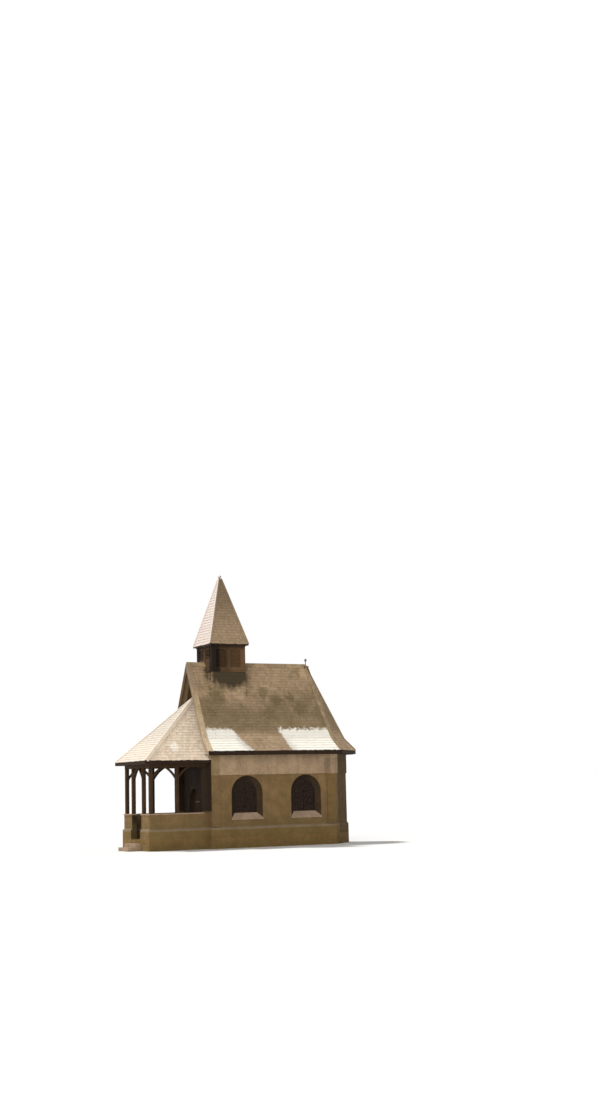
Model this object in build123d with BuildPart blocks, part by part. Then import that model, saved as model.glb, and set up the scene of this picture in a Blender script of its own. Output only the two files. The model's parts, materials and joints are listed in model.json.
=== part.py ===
from build123d import *

# Small mountain chapel with a half-pyramid porch roof, a ridge turret and a three-sided apse.
# Millimetres, +Z up, +X from the porch to the apse. The origin is on the ground,
# under the middle of the whole building.

import os
from math import atan2, cos, degrees, radians, sin, sqrt, tan

os.makedirs("parts", exist_ok=True)

# Floor, plinth and walls
floor_height = 500.0
ledge_rise = 430.0
ledge_slope = 40.0
plinth_projection = 60.0
paving_thickness = 50.0
wall_height = 4100.0
wall_thickness = 420.0

# Nave and apse plan: each apse wall turns by the same angle
nave_length = 6400.0
nave_width = 3800.0
apse_cut = 1400.0
facet_turn = 45.0

# Frieze and corner strips on the outer walls
frieze_depth = 910.0
strip_width = 420.0
strip_projection = 40.0

# Windows
first_window = 1800.0
window_spacing = 3060.0
window_jamb_height = 1210.0
window_outer_width = 1600.0
window_inner_width = 1150.0
window_sill_rise = 300.0
window_sill_drop = 250.0
splay_depth = 200.0
sill_width = 960.0
sill_thickness = 60.0
sill_nose = 35.0
sill_projection = 40.0
sash_width = 70.0
sash_depth = 60.0
glass_thickness = 8.0

# Doorway
door_width = 1150.0
door_jamb_height = 1600.0
door_frame_width = 90.0
door_frame_depth = 120.0
door_leaf_thickness = 50.0
door_leaf_inset = 40.0
door_setback = 150.0

# Main roof
eave_drop = 190.0
knee_rise = 550.0
knee_run = 550.0
ridge_rise = 3580.0
eave_overhang = 460.0
gable_overhang = 300.0
roof_depth = 170.0
ridge_setback = 400.0
soffit_thickness = 25.0
plate_inset = 100.0
plate_width = 180.0
gable_thickness = 80.0
bargeboard_thickness = 40.0
bargeboard_depth = 170.0
cap_width = 170.0
cap_thickness = 30.0

# Turret and spire
turret_setback = 1450.0
turret_width = 1700.0
turret_wall = 80.0
skirt_drop = 400.0
turret_rise = 860.0
spire_width = 1975.0
spire_height = 3260.0
spire_fascia = 70.0
spire_tip = 110.0
louvre_margin = 170.0
louvre_width = 610.0
louvre_post = 130.0
louvre_pitch = 65.0
louvre_depth = 70.0
louvre_thickness = 18.0
louvre_stile = 40.0
louvre_tilt = 45.0
slat_housing = 20.0
knob_neck = 15.0
knob_radius = 85.0
knob_spike = 20.0
finial_neck = 190.0
finial_radius = 65.0
finial_spike = 60.0
finial_stem = 22.0

# Porch
porch_depth = 2900.0
porch_inset = 325.0
porch_roof_drop = 1560.0
porch_eave_drop = 380.0
porch_front_overhang = 290.0
porch_roof_depth = 130.0
ceiling_thickness = 25.0
parapet_height = 1150.0
parapet_thickness = 220.0
coping_thickness = 50.0
coping_overhang = 30.0
entrance_width = 1100.0
post_size = 170.0
post_chamfer = 25.0
respond_size = 250.0
beam_depth = 170.0
brace_reach = 400.0
brace_width = 110.0
brace_thickness = 130.0
brace_bow = 45.0
step_rise_count = 3
step_going = 300.0

# Heights that follow
ledge_height = floor_height + ledge_rise
ledge_top = ledge_height + ledge_slope
wall_top = floor_height + wall_height
eave_height = wall_top - eave_drop
knee_height = eave_height + knee_rise
ridge_height = knee_height + ridge_rise
soffit_bottom = eave_height - roof_depth - soffit_thickness
frieze_bottom = soffit_bottom - frieze_depth
window_outer_sill = ledge_top + window_sill_rise
window_inner_sill = window_outer_sill + window_sill_drop
window_springing = window_outer_sill + window_jamb_height
door_foot = floor_height + paving_thickness
door_springing = door_foot + door_jamb_height
skirt_top = ridge_height - skirt_drop
spire_foot = ridge_height + turret_rise
spire_top = spire_foot + spire_height
porch_top = ridge_height - porch_roof_drop
porch_eave_height = eave_height - porch_eave_drop
ceiling_bottom = porch_eave_height - porch_roof_depth - ceiling_thickness
beam_bottom = ceiling_bottom - beam_depth
parapet_top = floor_height + parapet_height

# Plan places that follow
half_nave = nave_width / 2
half_porch = half_nave - porch_inset
half_door = door_width / 2
window_positions = (first_window, first_window + window_spacing)
eave_half = half_nave + eave_overhang
knee_y = eave_half - knee_run
knee_share = knee_y / eave_half
steps_reach = (step_rise_count - 1) * step_going
front_reach = porch_depth + plinth_projection + steps_reach
back_reach = nave_length + apse_cut + eave_overhang
front_x = (front_reach - back_reach) / 2
ridge_end = front_x + nave_length - ridge_setback
verge_x = front_x - gable_overhang
turned = radians(facet_turn)
mitre_a = tan(turned / 2)
mitre_b = tan((radians(90) - turned) / 2)
high = spire_top
wide = front_reach + back_reach


def write(piece, name):
    """Label a finished piece and write it to its file."""
    piece.label = name
    export_step(piece, f"parts/{name}.step")


def corner_front(offset):
    """Plan corner between the front wall and the south wall, moved outwards by offset."""
    return (front_x - offset, -(half_nave + offset))


def corner_a(offset):
    """Plan corner between the long wall and the slanted apse wall, moved outwards by offset."""
    return (front_x + nave_length + offset * mitre_a, -(half_nave + offset))


def corner_b(offset):
    """Plan corner between the slanted and the end wall of the apse, moved outwards by offset."""
    return (front_x + nave_length + apse_cut + offset,
            -(half_nave - apse_cut * tan(turned) + offset * mitre_b))


def flip(point):
    """Mirror a plan point to the other side of the axis."""
    return (point[0], -point[1])


def turn(angle):
    """Unit direction in plan, from the +X axis."""
    return (cos(radians(angle)), sin(radians(angle)))


# Each side of the building: the direction that it faces, and how far its wall stands from the ridge end
slant = ridge_setback * sin(turned) + half_nave * cos(turned)
sides = {
    "south": (-90, half_nave),
    "southeast": (facet_turn - 90, slant),
    "east": (0, ridge_setback + apse_cut),
    "northeast": (90 - facet_turn, slant),
    "north": (90, half_nave),
}


def side_plan(side, outer, inner, start=None):
    """Plan outline of the strip along one side, between two offsets from the wall's outer face.

    Its front end is mitred with the front wall, or square where a start is given."""
    a_out, a_in, b_out, b_in = corner_a(outer), corner_a(inner), corner_b(outer), corner_b(inner)
    f_out, f_in = corner_front(outer), corner_front(inner)
    if start is not None:
        f_out, f_in = (start, f_out[1]), (start, f_in[1])
    plans = {
        "front": [f_out, flip(f_out), flip(f_in), f_in],
        "south": [f_out, a_out, a_in, f_in],
        "southeast": [a_out, b_out, b_in, a_in],
        "east": [b_out, flip(b_out), flip(b_in), b_in],
    }
    if side in plans:
        return plans[side]
    return [flip(p) for p in plans[side.replace("north", "south")]]


def facet_plan(side, start=verge_x):
    """Plan outline of one roof slope, out to the eave."""
    a, b, r = corner_a(eave_overhang), corner_b(eave_overhang), (ridge_end, 0)
    plans = {
        "south": [(start, 0), (start, a[1]), a, r],
        "southeast": [r, a, b],
        "east": [r, b, flip(b)],
    }
    if side in plans:
        return plans[side]
    return [flip(p) for p in plans[side.replace("north", "south")]]


def section_piece(centre_x, angle, profile, *plans):
    """A section, as distances outwards from a point on the axis and heights, cut to every plan."""
    out = turn(angle)
    with BuildPart() as piece:
        with BuildSketch(Plane(origin=(centre_x, 0, 0), x_dir=(*out, 0), z_dir=(out[1], -out[0], 0))):
            with BuildLine():
                Polyline(*profile, close=True)
            make_face()
        extrude(amount=wide, both=True)
        for plan in plans:
            with BuildSketch(Plane.XY):
                for outline in plan:
                    with BuildLine():
                        Polyline(*outline, close=True)
                    make_face()
            extrude(amount=high, mode=Mode.INTERSECT)
    return piece.part


def ring_piece(side, profile, plan):
    """A section that runs along one side of the nave or the apse."""
    return section_piece(ridge_end, sides[side][0], profile, [plan])


def wall_section(face, top, thickness):
    """Section of a wall with its plinth ledge, from the floor up."""
    return [(face + plinth_projection, floor_height), (face + plinth_projection, ledge_height),
            (face, ledge_top), (face, top), (face - thickness, top), (face - thickness, floor_height)]


def strip(start, end, width):
    """Plan outline of a band on both sides of a line."""
    dx, dy = end[0] - start[0], end[1] - start[1]
    length = sqrt(dx * dx + dy * dy)
    nx, ny = -dy / length * width, dx / length * width
    return [(start[0] + nx, start[1] + ny), (end[0] + nx, end[1] + ny),
            (end[0] - nx, end[1] - ny), (start[0] - nx, start[1] - ny)]


def underside(side, distance):
    """Height of the roof's underside at a distance from the ridge end."""
    run = sides[side][1] + eave_overhang
    knee = knee_share * run
    if distance < knee:
        share = distance / knee
        return ridge_height + (knee_height - ridge_height) * share - roof_depth
    share = (distance - knee) / (run - knee)
    return knee_height + (eave_height - knee_height) * share - roof_depth


# Masonry base under the nave floor
with BuildPart() as nave_base:
    with BuildSketch(Plane.XY):
        with BuildLine():
            near = [(front_x - plinth_projection, -(half_nave + plinth_projection)),
                    corner_a(plinth_projection), corner_b(plinth_projection)]
            Polyline(*near, *[flip(p) for p in reversed(near)], close=True)
        make_face()
    extrude(amount=floor_height)
write(nave_base.part, "nave_base")

# Paved floor inside the walls
with BuildPart() as nave_floor:
    with BuildSketch(Plane.XY.offset(floor_height)):
        with BuildLine():
            near = [(front_x + wall_thickness, -(half_nave - wall_thickness)),
                    corner_a(-wall_thickness), corner_b(-wall_thickness)]
            Polyline(*near, *[flip(p) for p in reversed(near)], close=True)
        make_face()
    extrude(amount=paving_thickness)
write(nave_floor.part, "nave_floor")


def arch_outline(width, sill):
    """Round-headed outline about the middle of an opening, standing on its sill."""
    half = width / 2
    with BuildLine() as outline:
        Line((-half, sill), (half, sill))
        Line((half, sill), (half, window_springing))
        ThreePointArc((half, window_springing), (0, window_springing + half), (-half, window_springing))
        Line((-half, window_springing), (-half, sill))
    return outline.line


def window_plane(direction, position, depth):
    """Upright plane facing out of a long wall, at a depth behind its outer face."""
    return Plane(origin=(front_x + position, direction * (half_nave - depth), 0),
                 x_dir=(-direction, 0, 0), z_dir=(0, direction, 0))


def window_prism(direction, position, width, sill, depth, thickness):
    """A round-headed panel that starts at a depth behind the wall's face and goes inwards."""
    with BuildPart() as panel:
        with BuildSketch(window_plane(direction, position, depth)):
            add(arch_outline(width, sill))
            make_face()
        extrude(amount=-thickness)
    return panel.part


def wall_piece(side):
    """A whole wall of the ring, mitred with its neighbours."""
    section = wall_section(sides[side][1], wall_top, wall_thickness)
    return ring_piece(side, section, side_plan(side, plinth_projection, -wall_thickness))


for side, direction in (("south", -1), ("north", 1)):
    with BuildPart() as wall:
        add(wall_piece(side))
        for position in window_positions:
            with BuildSketch(window_plane(direction, position, 0)):
                add(arch_outline(window_outer_width, window_outer_sill))
                make_face()
            with BuildSketch(window_plane(direction, position, splay_depth)):
                add(arch_outline(window_inner_width, window_inner_sill))
                make_face()
            loft(ruled=True, mode=Mode.SUBTRACT)
            with BuildSketch(window_plane(direction, position, splay_depth)):
                add(arch_outline(window_inner_width, window_inner_sill))
                make_face()
            extrude(amount=splay_depth - wall_thickness, mode=Mode.SUBTRACT)
    write(wall.part, f"{side}_wall")

for side in ("southeast", "east", "northeast"):
    write(wall_piece(side), f"apse_wall_{side}")


def door_outline(half):
    """Round-headed outline of the doorway, standing on the threshold."""
    with BuildLine() as outline:
        Line((-half, door_foot), (half, door_foot))
        Line((half, door_foot), (half, door_springing))
        ThreePointArc((half, door_springing), (0, door_springing + half), (-half, door_springing))
        Line((-half, door_springing), (-half, door_foot))
    return outline.line


# Front wall with the arched doorway; its ledge stops where the porch meets it
with BuildPart() as front_wall:
    front_section = wall_section(nave_length - ridge_setback, wall_top, wall_thickness)
    add(section_piece(ridge_end, 180, front_section, [side_plan("front", plinth_projection, -wall_thickness)]))
    with BuildSketch(Plane.XY.offset(floor_height)):
        with Locations((front_x, 0)):
            Rectangle(plinth_projection, 2 * (half_porch + plinth_projection), align=(Align.MAX, Align.CENTER))
    extrude(amount=ledge_top - floor_height, mode=Mode.SUBTRACT)
    with BuildSketch(Plane.XY.offset(floor_height)):
        with Locations((front_x, 0)):
            Rectangle(wall_thickness, door_width, align=(Align.MIN, Align.CENTER))
    extrude(amount=paving_thickness, mode=Mode.SUBTRACT)
    with BuildSketch(Plane.YZ.offset(front_x)):
        add(door_outline(half_door))
        make_face()
    extrude(amount=wall_thickness, mode=Mode.SUBTRACT)
write(front_wall.part, "front_wall")

with BuildPart() as door_threshold:
    with BuildSketch(Plane.XY.offset(floor_height)):
        with Locations((front_x, 0)):
            Rectangle(wall_thickness, door_width, align=(Align.MIN, Align.CENTER))
    extrude(amount=paving_thickness)
write(door_threshold.part, "door_threshold")

with BuildPart() as door_frame:
    with BuildSketch(Plane.YZ.offset(front_x + door_setback)):
        add(door_outline(half_door))
        make_face()
    extrude(amount=door_frame_depth)
    with BuildSketch(Plane.YZ.offset(front_x + door_setback)):
        add(door_outline(half_door - door_frame_width))
        make_face()
    extrude(amount=door_frame_depth, mode=Mode.SUBTRACT)
write(door_frame.part, "door_frame")

with BuildPart() as door_leaf:
    with BuildSketch(Plane.YZ.offset(front_x + door_setback + door_leaf_inset)):
        add(door_outline(half_door - door_frame_width))
        make_face()
    extrude(amount=door_leaf_thickness)
write(door_leaf.part, "door_leaf")


def frieze(side):
    """The band under the eave along one side."""
    face = sides[side][1]
    plan = side_plan(side, strip_projection, 0, front_x)
    band = [(face, frieze_bottom), (face + strip_projection, frieze_bottom),
            (face + strip_projection, soffit_bottom), (face, soffit_bottom)]
    return ring_piece(side, band, plan)


# Frieze of each long wall, with a strip down each end of the wall
for side, direction in (("south", -1), ("north", 1)):
    with BuildPart() as band:
        add(frieze(side))
        with BuildSketch(Plane.XY.offset(ledge_top)):
            with BuildLine():
                Polyline(*side_plan(side, strip_projection, 0, front_x), close=True)
            make_face()
            with Locations((front_x + nave_length / 2, direction * half_nave)):
                Rectangle(nave_length - 2 * strip_width, nave_width,
                          align=(Align.CENTER, Align.CENTER), mode=Mode.SUBTRACT)
        extrude(amount=frieze_bottom - ledge_top)
    write(band.part, f"frieze_{side}")

with BuildPart() as apse_frieze:
    for side in ("southeast", "east", "northeast"):
        add(frieze(side))
write(apse_frieze.part, "frieze_apse")

# Window frames, glass and sills
window_places = [(direction, position) for direction in (-1, 1) for position in window_positions]
frame_sill = window_inner_sill + sill_thickness
pane_width = window_inner_width - 2 * sash_width
pane_sill = frame_sill + sash_width
with BuildPart() as window_frames:
    for direction, position in window_places:
        add(window_prism(direction, position, window_inner_width, frame_sill, splay_depth, sash_depth))
        add(window_prism(direction, position, pane_width, pane_sill, splay_depth, sash_depth),
            mode=Mode.SUBTRACT)
write(window_frames.part, "window_frames")

with BuildPart() as window_glass:
    pane_depth = splay_depth + (sash_depth - glass_thickness) / 2
    for direction, position in window_places:
        add(window_prism(direction, position, pane_width, pane_sill, pane_depth, glass_thickness))
write(window_glass.part, "window_glass")

with BuildPart() as window_sills:
    for direction, position in window_places:
        with BuildSketch(Plane(origin=(front_x + position, 0, 0), x_dir=(0, direction, 0),
                               z_dir=(direction, 0, 0))):
            with BuildLine():
                Polyline((half_nave, window_outer_sill), (half_nave + sill_projection, window_outer_sill),
                         (half_nave + sill_projection, window_outer_sill + sill_nose),
                         (half_nave - splay_depth, window_inner_sill + sill_thickness),
                         (half_nave - splay_depth, window_inner_sill), close=True)
            make_face()
        extrude(amount=sill_width / 2, both=True)
write(window_sills.part, "window_sills")


# Main roof: five slopes with a flared foot, mitred at the hips and the ridge
def slope_top(side):
    """The line of a slope's top face, from the ridge end to the eave."""
    run = sides[side][1] + eave_overhang
    return [(0, ridge_height), (knee_share * run, knee_height), (run, eave_height)]


def slope_section(side):
    """Section of a roof slope from the ridge end out to the eave."""
    top = slope_top(side)
    return top + [(x, z - roof_depth) for x, z in reversed(top)]


for side in sides:
    name = f"roof_{side}" if side in ("south", "north") else f"roof_apse_{side}"
    write(ring_piece(side, slope_section(side), facet_plan(side)), name)

# Wall plate that the rafters stand on, and the boarded soffit outside it
with BuildPart() as wall_plate:
    for side, (angle, face) in sides.items():
        outer, inner = face - plate_inset, face - plate_inset - plate_width
        knee = knee_share * (face + eave_overhang)
        top = [(x, underside(side, x)) for x in (outer, knee, inner) if inner <= x <= outer]
        plan = facet_plan(side, front_x + gable_thickness)
        add(ring_piece(side, [(outer, wall_top), *top, (inner, wall_top)], plan))
write(wall_plate.part, "wall_plate")

with BuildPart() as eave_soffit:
    for side, (angle, face) in sides.items():
        level = eave_height - roof_depth
        section = [(face, soffit_bottom), (face, level),
                   (face + eave_overhang, level), (face + eave_overhang, soffit_bottom)]
        plan = side_plan(side, eave_overhang, 0, verge_x)
        add(ring_piece(side, section, plan))
write(eave_soffit.part, "eave_soffit")

# Boarded gable over the front wall
with BuildPart() as gable_boards:
    with BuildSketch(Plane.YZ.offset(front_x)):
        with BuildLine():
            side_line = [(half_nave, wall_top), (half_nave, underside("south", half_nave)),
                         (knee_y, underside("south", knee_y))]
            Polyline(*side_line, (0, ridge_height - roof_depth),
                     *[(-y, z) for y, z in reversed(side_line)], close=True)
        make_face()
    extrude(amount=gable_thickness)
write(gable_boards.part, "gable_boards")

# Bargeboards along the two verges, of one depth square to each slope
steep = ridge_rise / knee_y
gentle = knee_rise / knee_run
steep_drop = bargeboard_depth * sqrt(1 + steep * steep)
gentle_drop = bargeboard_depth * sqrt(1 + gentle * gentle)
inner_knee = knee_y - (steep_drop - gentle_drop) / (steep - gentle)
inner_knee_height = knee_height + steep * (knee_y - inner_knee) - steep_drop
with BuildPart() as bargeboards:
    with BuildSketch(Plane.YZ.offset(verge_x)):
        with BuildLine():
            top_line = [(eave_half, eave_height), (knee_y, knee_height)]
            low_line = [(inner_knee, inner_knee_height), (eave_half, eave_height - gentle_drop)]
            Polyline(*top_line, (0, ridge_height), *[(-y, z) for y, z in reversed(top_line)],
                     *[(-y, z) for y, z in reversed(low_line)], (0, ridge_height - steep_drop),
                     *low_line, close=True)
        make_face()
    extrude(amount=-bargeboard_thickness)
write(bargeboards.part, "bargeboards")

# Turret standing astride the ridge
turret_x = front_x + turret_setback
turret_half = turret_width / 2


def roof_top(distance):
    """Height of the nave roof's top face at a distance from the ridge."""
    return ridge_height + (knee_height - ridge_height) * distance / knee_y


with BuildPart() as roof_clearance:
    with BuildSketch(Plane.YZ.offset(turret_x - turret_width)):
        with BuildLine():
            Polyline((-knee_y, knee_height), (0, ridge_height), (knee_y, knee_height), close=True)
        make_face()
    extrude(amount=2 * turret_width)

turret_foot = roof_top(turret_half)


def turret_ring(bottom, top):
    """The turret's boarded walls between two heights."""
    with BuildPart() as ring:
        with BuildSketch(Plane.XY.offset(bottom)):
            with Locations((turret_x, 0)):
                Rectangle(turret_width, turret_width)
                Rectangle(turret_width - 2 * turret_wall, turret_width - 2 * turret_wall, mode=Mode.SUBTRACT)
        extrude(amount=top - bottom)
        add(roof_clearance.part, mode=Mode.SUBTRACT)
    return ring.part


write(turret_ring(turret_foot, skirt_top), "turret_skirt")

# Each face of the turret has a pair of louvred lights; those over the ridge start higher
louvre_sill = skirt_top + louvre_margin
ridge_louvre_sill = ridge_height + louvre_margin
louvre_head = spire_foot - louvre_margin
turret_faces = [(-90, louvre_sill), (90, louvre_sill), (180, ridge_louvre_sill), (0, ridge_louvre_sill)]
louvre_offset = (louvre_width + louvre_post) / 2

# A tilted slat reaches from the front of its panel to the back, so that each slat hides the gap under it
tilt = radians(louvre_tilt)
slat_length = (louvre_depth - louvre_thickness * sin(tilt)) / cos(tilt)


def turret_plane(angle, depth=0.0):
    """Upright plane facing out of a turret wall, at a depth behind its face."""
    out = turn(angle)
    reach = turret_half - depth
    return Plane(origin=(turret_x + out[0] * reach, out[1] * reach, 0),
                 x_dir=(-out[1], out[0], 0), z_dir=(*out, 0))


with BuildPart() as turret_shaft:
    add(turret_ring(skirt_top, spire_foot))
    for angle, sill in turret_faces:
        with BuildSketch(turret_plane(angle)):
            with Locations((-louvre_offset, sill), (louvre_offset, sill)):
                Rectangle(louvre_width, louvre_head - sill, align=(Align.CENTER, Align.MIN))
        extrude(amount=-turret_wall, mode=Mode.SUBTRACT)
write(turret_shaft.part, "turret_shaft")


def louvre_panel(angle, middle, sill):
    """A framed panel of sloping slats that fills one light of the turret."""
    out = turn(angle)
    with BuildPart() as panel:
        with BuildSketch(turret_plane(angle)):
            with Locations((middle, sill)):
                Rectangle(louvre_width, louvre_head - sill, align=(Align.CENTER, Align.MIN))
            with Locations((middle, sill + louvre_stile)):
                Rectangle(louvre_width - 2 * louvre_stile, louvre_head - sill - 2 * louvre_stile,
                          align=(Align.CENTER, Align.MIN), mode=Mode.SUBTRACT)
        extrude(amount=-louvre_depth)
        start = turret_plane(angle, louvre_depth / 2).from_local_coords((middle, 0, 0))
        clear_height = louvre_head - sill - 2 * louvre_stile
        slat_rows = round(clear_height / louvre_pitch)
        spacing = clear_height / slat_rows
        with BuildSketch(Plane(origin=start, x_dir=(*out, 0), z_dir=(out[1], -out[0], 0))):
            for row in range(slat_rows):
                with Locations((0, sill + louvre_stile + spacing / 2 + row * spacing)):
                    Rectangle(slat_length, louvre_thickness, rotation=-louvre_tilt)
        extrude(amount=louvre_width / 2 - louvre_stile + slat_housing, both=True)
    return panel.part


with BuildPart() as turret_louvres:
    for angle, sill in turret_faces:
        for middle in (-louvre_offset, louvre_offset):
            add(louvre_panel(angle, middle, sill))
write(turret_louvres.part, "turret_louvres")

# Spire with a vertical fascia at its foot and a blunt tip
slope_height = spire_height - spire_fascia
slope_angle = degrees(atan2((spire_width - spire_tip) / 2, slope_height))
with BuildPart() as spire:
    with BuildSketch(Plane.XY.offset(spire_foot)):
        with Locations((turret_x, 0)):
            Rectangle(spire_width, spire_width)
    extrude(amount=spire_fascia)
    extrude(spire.faces().sort_by(Axis.Z)[-1], amount=slope_height, taper=slope_angle)
write(spire.part, "spire")


def finial(x, foot, stem, ball, spike):
    """A turned finial: a stem that carries a ball, with a short spike above."""
    middle = stem + ball
    neck = sqrt(ball * ball - finial_stem * finial_stem)
    with BuildPart() as turned_piece:
        with BuildSketch(Plane.XZ):
            with BuildLine():
                Polyline((0, middle + ball + spike), (0, 0), (finial_stem, 0), (finial_stem, middle - neck))
                ThreePointArc((finial_stem, middle - neck), (ball, middle), (finial_stem, middle + neck))
                Line((finial_stem, middle + neck), (0, middle + ball + spike))
            make_face()
        revolve(axis=Axis.Z)
    return turned_piece.part.moved(Location((x, 0, foot)))


with BuildPart() as roof_finials:
    add(finial(ridge_end, ridge_height + cap_thickness, finial_neck, finial_radius, finial_spike))
    add(finial(turret_x, spire_top, knob_neck, knob_radius, knob_spike))
write(roof_finials.part, "roof_finials")

# Ridge and hip caps laid over the slopes
hip_a, hip_b, hip_r = corner_a(eave_overhang), corner_b(eave_overhang), (ridge_end, 0)
cap_lines = {
    "south": [((verge_x, 0), hip_r), (hip_r, hip_a)],
    "southeast": [(hip_r, hip_a), (hip_r, hip_b)],
    "east": [(hip_r, hip_b), (hip_r, flip(hip_b))],
}
cap_lines["northeast"] = [(flip(p), flip(q)) for p, q in cap_lines["southeast"]]
cap_lines["north"] = [(flip(p), flip(q)) for p, q in cap_lines["south"]]


def sheet_over(top):
    """Section of a thin layer that lies on a slope."""
    return top + [(x, z + cap_thickness) for x, z in reversed(top)]


with BuildPart() as roof_caps:
    for side, lines in cap_lines.items():
        strips = [strip(start, end, cap_width / 2) for start, end in lines]
        add(section_piece(ridge_end, sides[side][0], sheet_over(slope_top(side)),
                          [facet_plan(side)], strips))
    with BuildSketch(Plane.XY.offset(turret_foot)):
        with Locations((turret_x, 0)):
            Rectangle(turret_width, turret_width)
    extrude(amount=high - turret_foot, mode=Mode.SUBTRACT)
write(roof_caps.part, "roof_caps")

# Porch base, floor and steps
with BuildPart() as porch_base:
    with BuildSketch(Plane.XY):
        with Locations((front_x - plinth_projection, 0)):
            Rectangle(porch_depth, 2 * (half_porch + plinth_projection), align=(Align.MAX, Align.CENTER))
    extrude(amount=floor_height)
write(porch_base.part, "porch_base")

with BuildPart() as entrance_steps:
    step_rise = floor_height / step_rise_count
    for step in range(1, step_rise_count):
        with BuildSketch(Plane.XY):
            with Locations((front_x - porch_depth - plinth_projection, 0)):
                Rectangle(step * step_going, entrance_width + 2 * plinth_projection,
                          align=(Align.MAX, Align.CENTER))
        extrude(amount=floor_height - step * step_rise)
write(entrance_steps.part, "entrance_steps")

# Porch parapets with the same ledge as the nave, and the masonry responds where the porch meets it
porch_front = front_x - porch_depth
respond_front = front_x - respond_size
gap_half = entrance_width / 2
wall_side = parapet_top - coping_thickness


def porch_corner_point(offset):
    """Plan corner of the porch, moved outwards by offset."""
    return (porch_front - offset, -(half_porch + offset))


out_corner, in_corner = porch_corner_point(plinth_projection), porch_corner_point(-parapet_thickness)
parapet_plans = {
    "front": [out_corner, (out_corner[0], -gap_half), (in_corner[0], -gap_half), in_corner],
    "side": [out_corner, (respond_front, out_corner[1]), (respond_front, in_corner[1]), in_corner],
}
respond_plan = [(respond_front, out_corner[1]), (front_x, out_corner[1]),
                (front_x, respond_size - half_porch), (respond_front, respond_size - half_porch)]


def both_sides(plan, direction):
    """The plan as drawn for the south side, or mirrored for the north side."""
    return plan if direction < 0 else [flip(p) for p in plan]


with BuildPart() as porch_parapets:
    for direction in (-1, 1):
        for arm, face, angle in (("front", porch_depth, 180), ("side", half_porch, 90 * direction)):
            section = wall_section(face, wall_side, parapet_thickness)
            add(section_piece(front_x, angle, section, [both_sides(parapet_plans[arm], direction)]))
write(porch_parapets.part, "porch_parapets")

with BuildPart() as porch_responds:
    for direction in (-1, 1):
        section = wall_section(half_porch, beam_bottom, respond_size)
        add(section_piece(front_x, 90 * direction, section, [both_sides(respond_plan, direction)]))
write(porch_responds.part, "porch_responds")

with BuildPart() as parapet_copings:
    lap = parapet_thickness + 2 * coping_overhang
    for direction in (-1, 1):
        inward = Align.MIN if direction < 0 else Align.MAX
        with BuildSketch(Plane.XY.offset(wall_side)):
            with Locations((respond_front, direction * (half_porch + coping_overhang))):
                Rectangle(porch_depth - respond_size + coping_overhang, lap, align=(Align.MAX, inward))
            with Locations((porch_front - coping_overhang, direction * (half_porch + coping_overhang))):
                Rectangle(lap, half_porch + coping_overhang - gap_half, align=(Align.MIN, inward))
        extrude(amount=coping_thickness)
write(parapet_copings.part, "parapet_copings")

# Timber posts standing on the parapets
post_line = half_porch - parapet_thickness / 2
post_front = porch_front + parapet_thickness / 2
post_middle = (post_front + front_x - respond_size) / 2
post_gap = gap_half + post_size / 2
with BuildPart() as porch_posts:
    with BuildSketch(Plane.XY.offset(parapet_top)):
        for x, y in ((post_front, post_line), (post_middle, post_line), (post_front, post_gap)):
            with Locations((x, y), (x, -y)):
                Rectangle(post_size, post_size)
    extrude(amount=beam_bottom - parapet_top)
    chamfer(porch_posts.edges().filter_by(Axis.Z), length=post_chamfer)
write(porch_posts.part, "porch_posts")

# Half-pyramid porch roof against the gable
porch_eave_x = porch_front - porch_front_overhang
porch_eave_y = half_nave
porch_run = front_x - porch_eave_x
porch_apex, porch_corner = (front_x, 0), (porch_eave_x, -porch_eave_y)
porch_wall_end = (front_x, -porch_eave_y)
porch_sides = {
    "front": (180, porch_run, [porch_apex, porch_corner, flip(porch_corner)]),
    "south": (-90, porch_eave_y, [porch_apex, porch_wall_end, porch_corner]),
    "north": (90, porch_eave_y, [porch_apex, flip(porch_corner), flip(porch_wall_end)]),
}

for side, (angle, run, plan) in porch_sides.items():
    top = [(0, porch_top), (run, porch_eave_height)]
    section = top + [(x, z - porch_roof_depth) for x, z in reversed(top)]
    write(section_piece(front_x, angle, section, [plan]), f"porch_roof_{side}")

# Boarded ceiling out to the eaves, and the beams that carry it
with BuildPart() as porch_ceiling:
    with BuildSketch(Plane.XY.offset(ceiling_bottom)):
        with Locations((front_x, 0)):
            Rectangle(porch_run, 2 * porch_eave_y, align=(Align.MAX, Align.CENTER))
    extrude(amount=ceiling_thickness)
write(porch_ceiling.part, "porch_ceiling")

with BuildPart() as porch_beams:
    beam_half = post_line + post_size / 2
    with BuildSketch(Plane.XY.offset(beam_bottom)):
        with Locations((front_x, 0)):
            Rectangle(front_x - post_front + post_size / 2, 2 * beam_half, align=(Align.MAX, Align.CENTER))
            Rectangle(front_x - post_front - post_size / 2, 2 * (beam_half - post_size),
                      align=(Align.MAX, Align.CENTER), mode=Mode.SUBTRACT)
    extrude(amount=beam_depth)
write(porch_beams.part, "porch_beams")

with BuildPart() as porch_hips:
    for side, (angle, run, plan) in porch_sides.items():
        lines = [(porch_apex, porch_corner), (porch_apex, flip(porch_corner))]
        strips = [strip(start, end, cap_width / 2) for start, end in lines]
        top = [(0, porch_top), (run, porch_eave_height)]
        add(section_piece(front_x, angle, sheet_over(top), [plan], strips))
write(porch_hips.part, "porch_hips")


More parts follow.
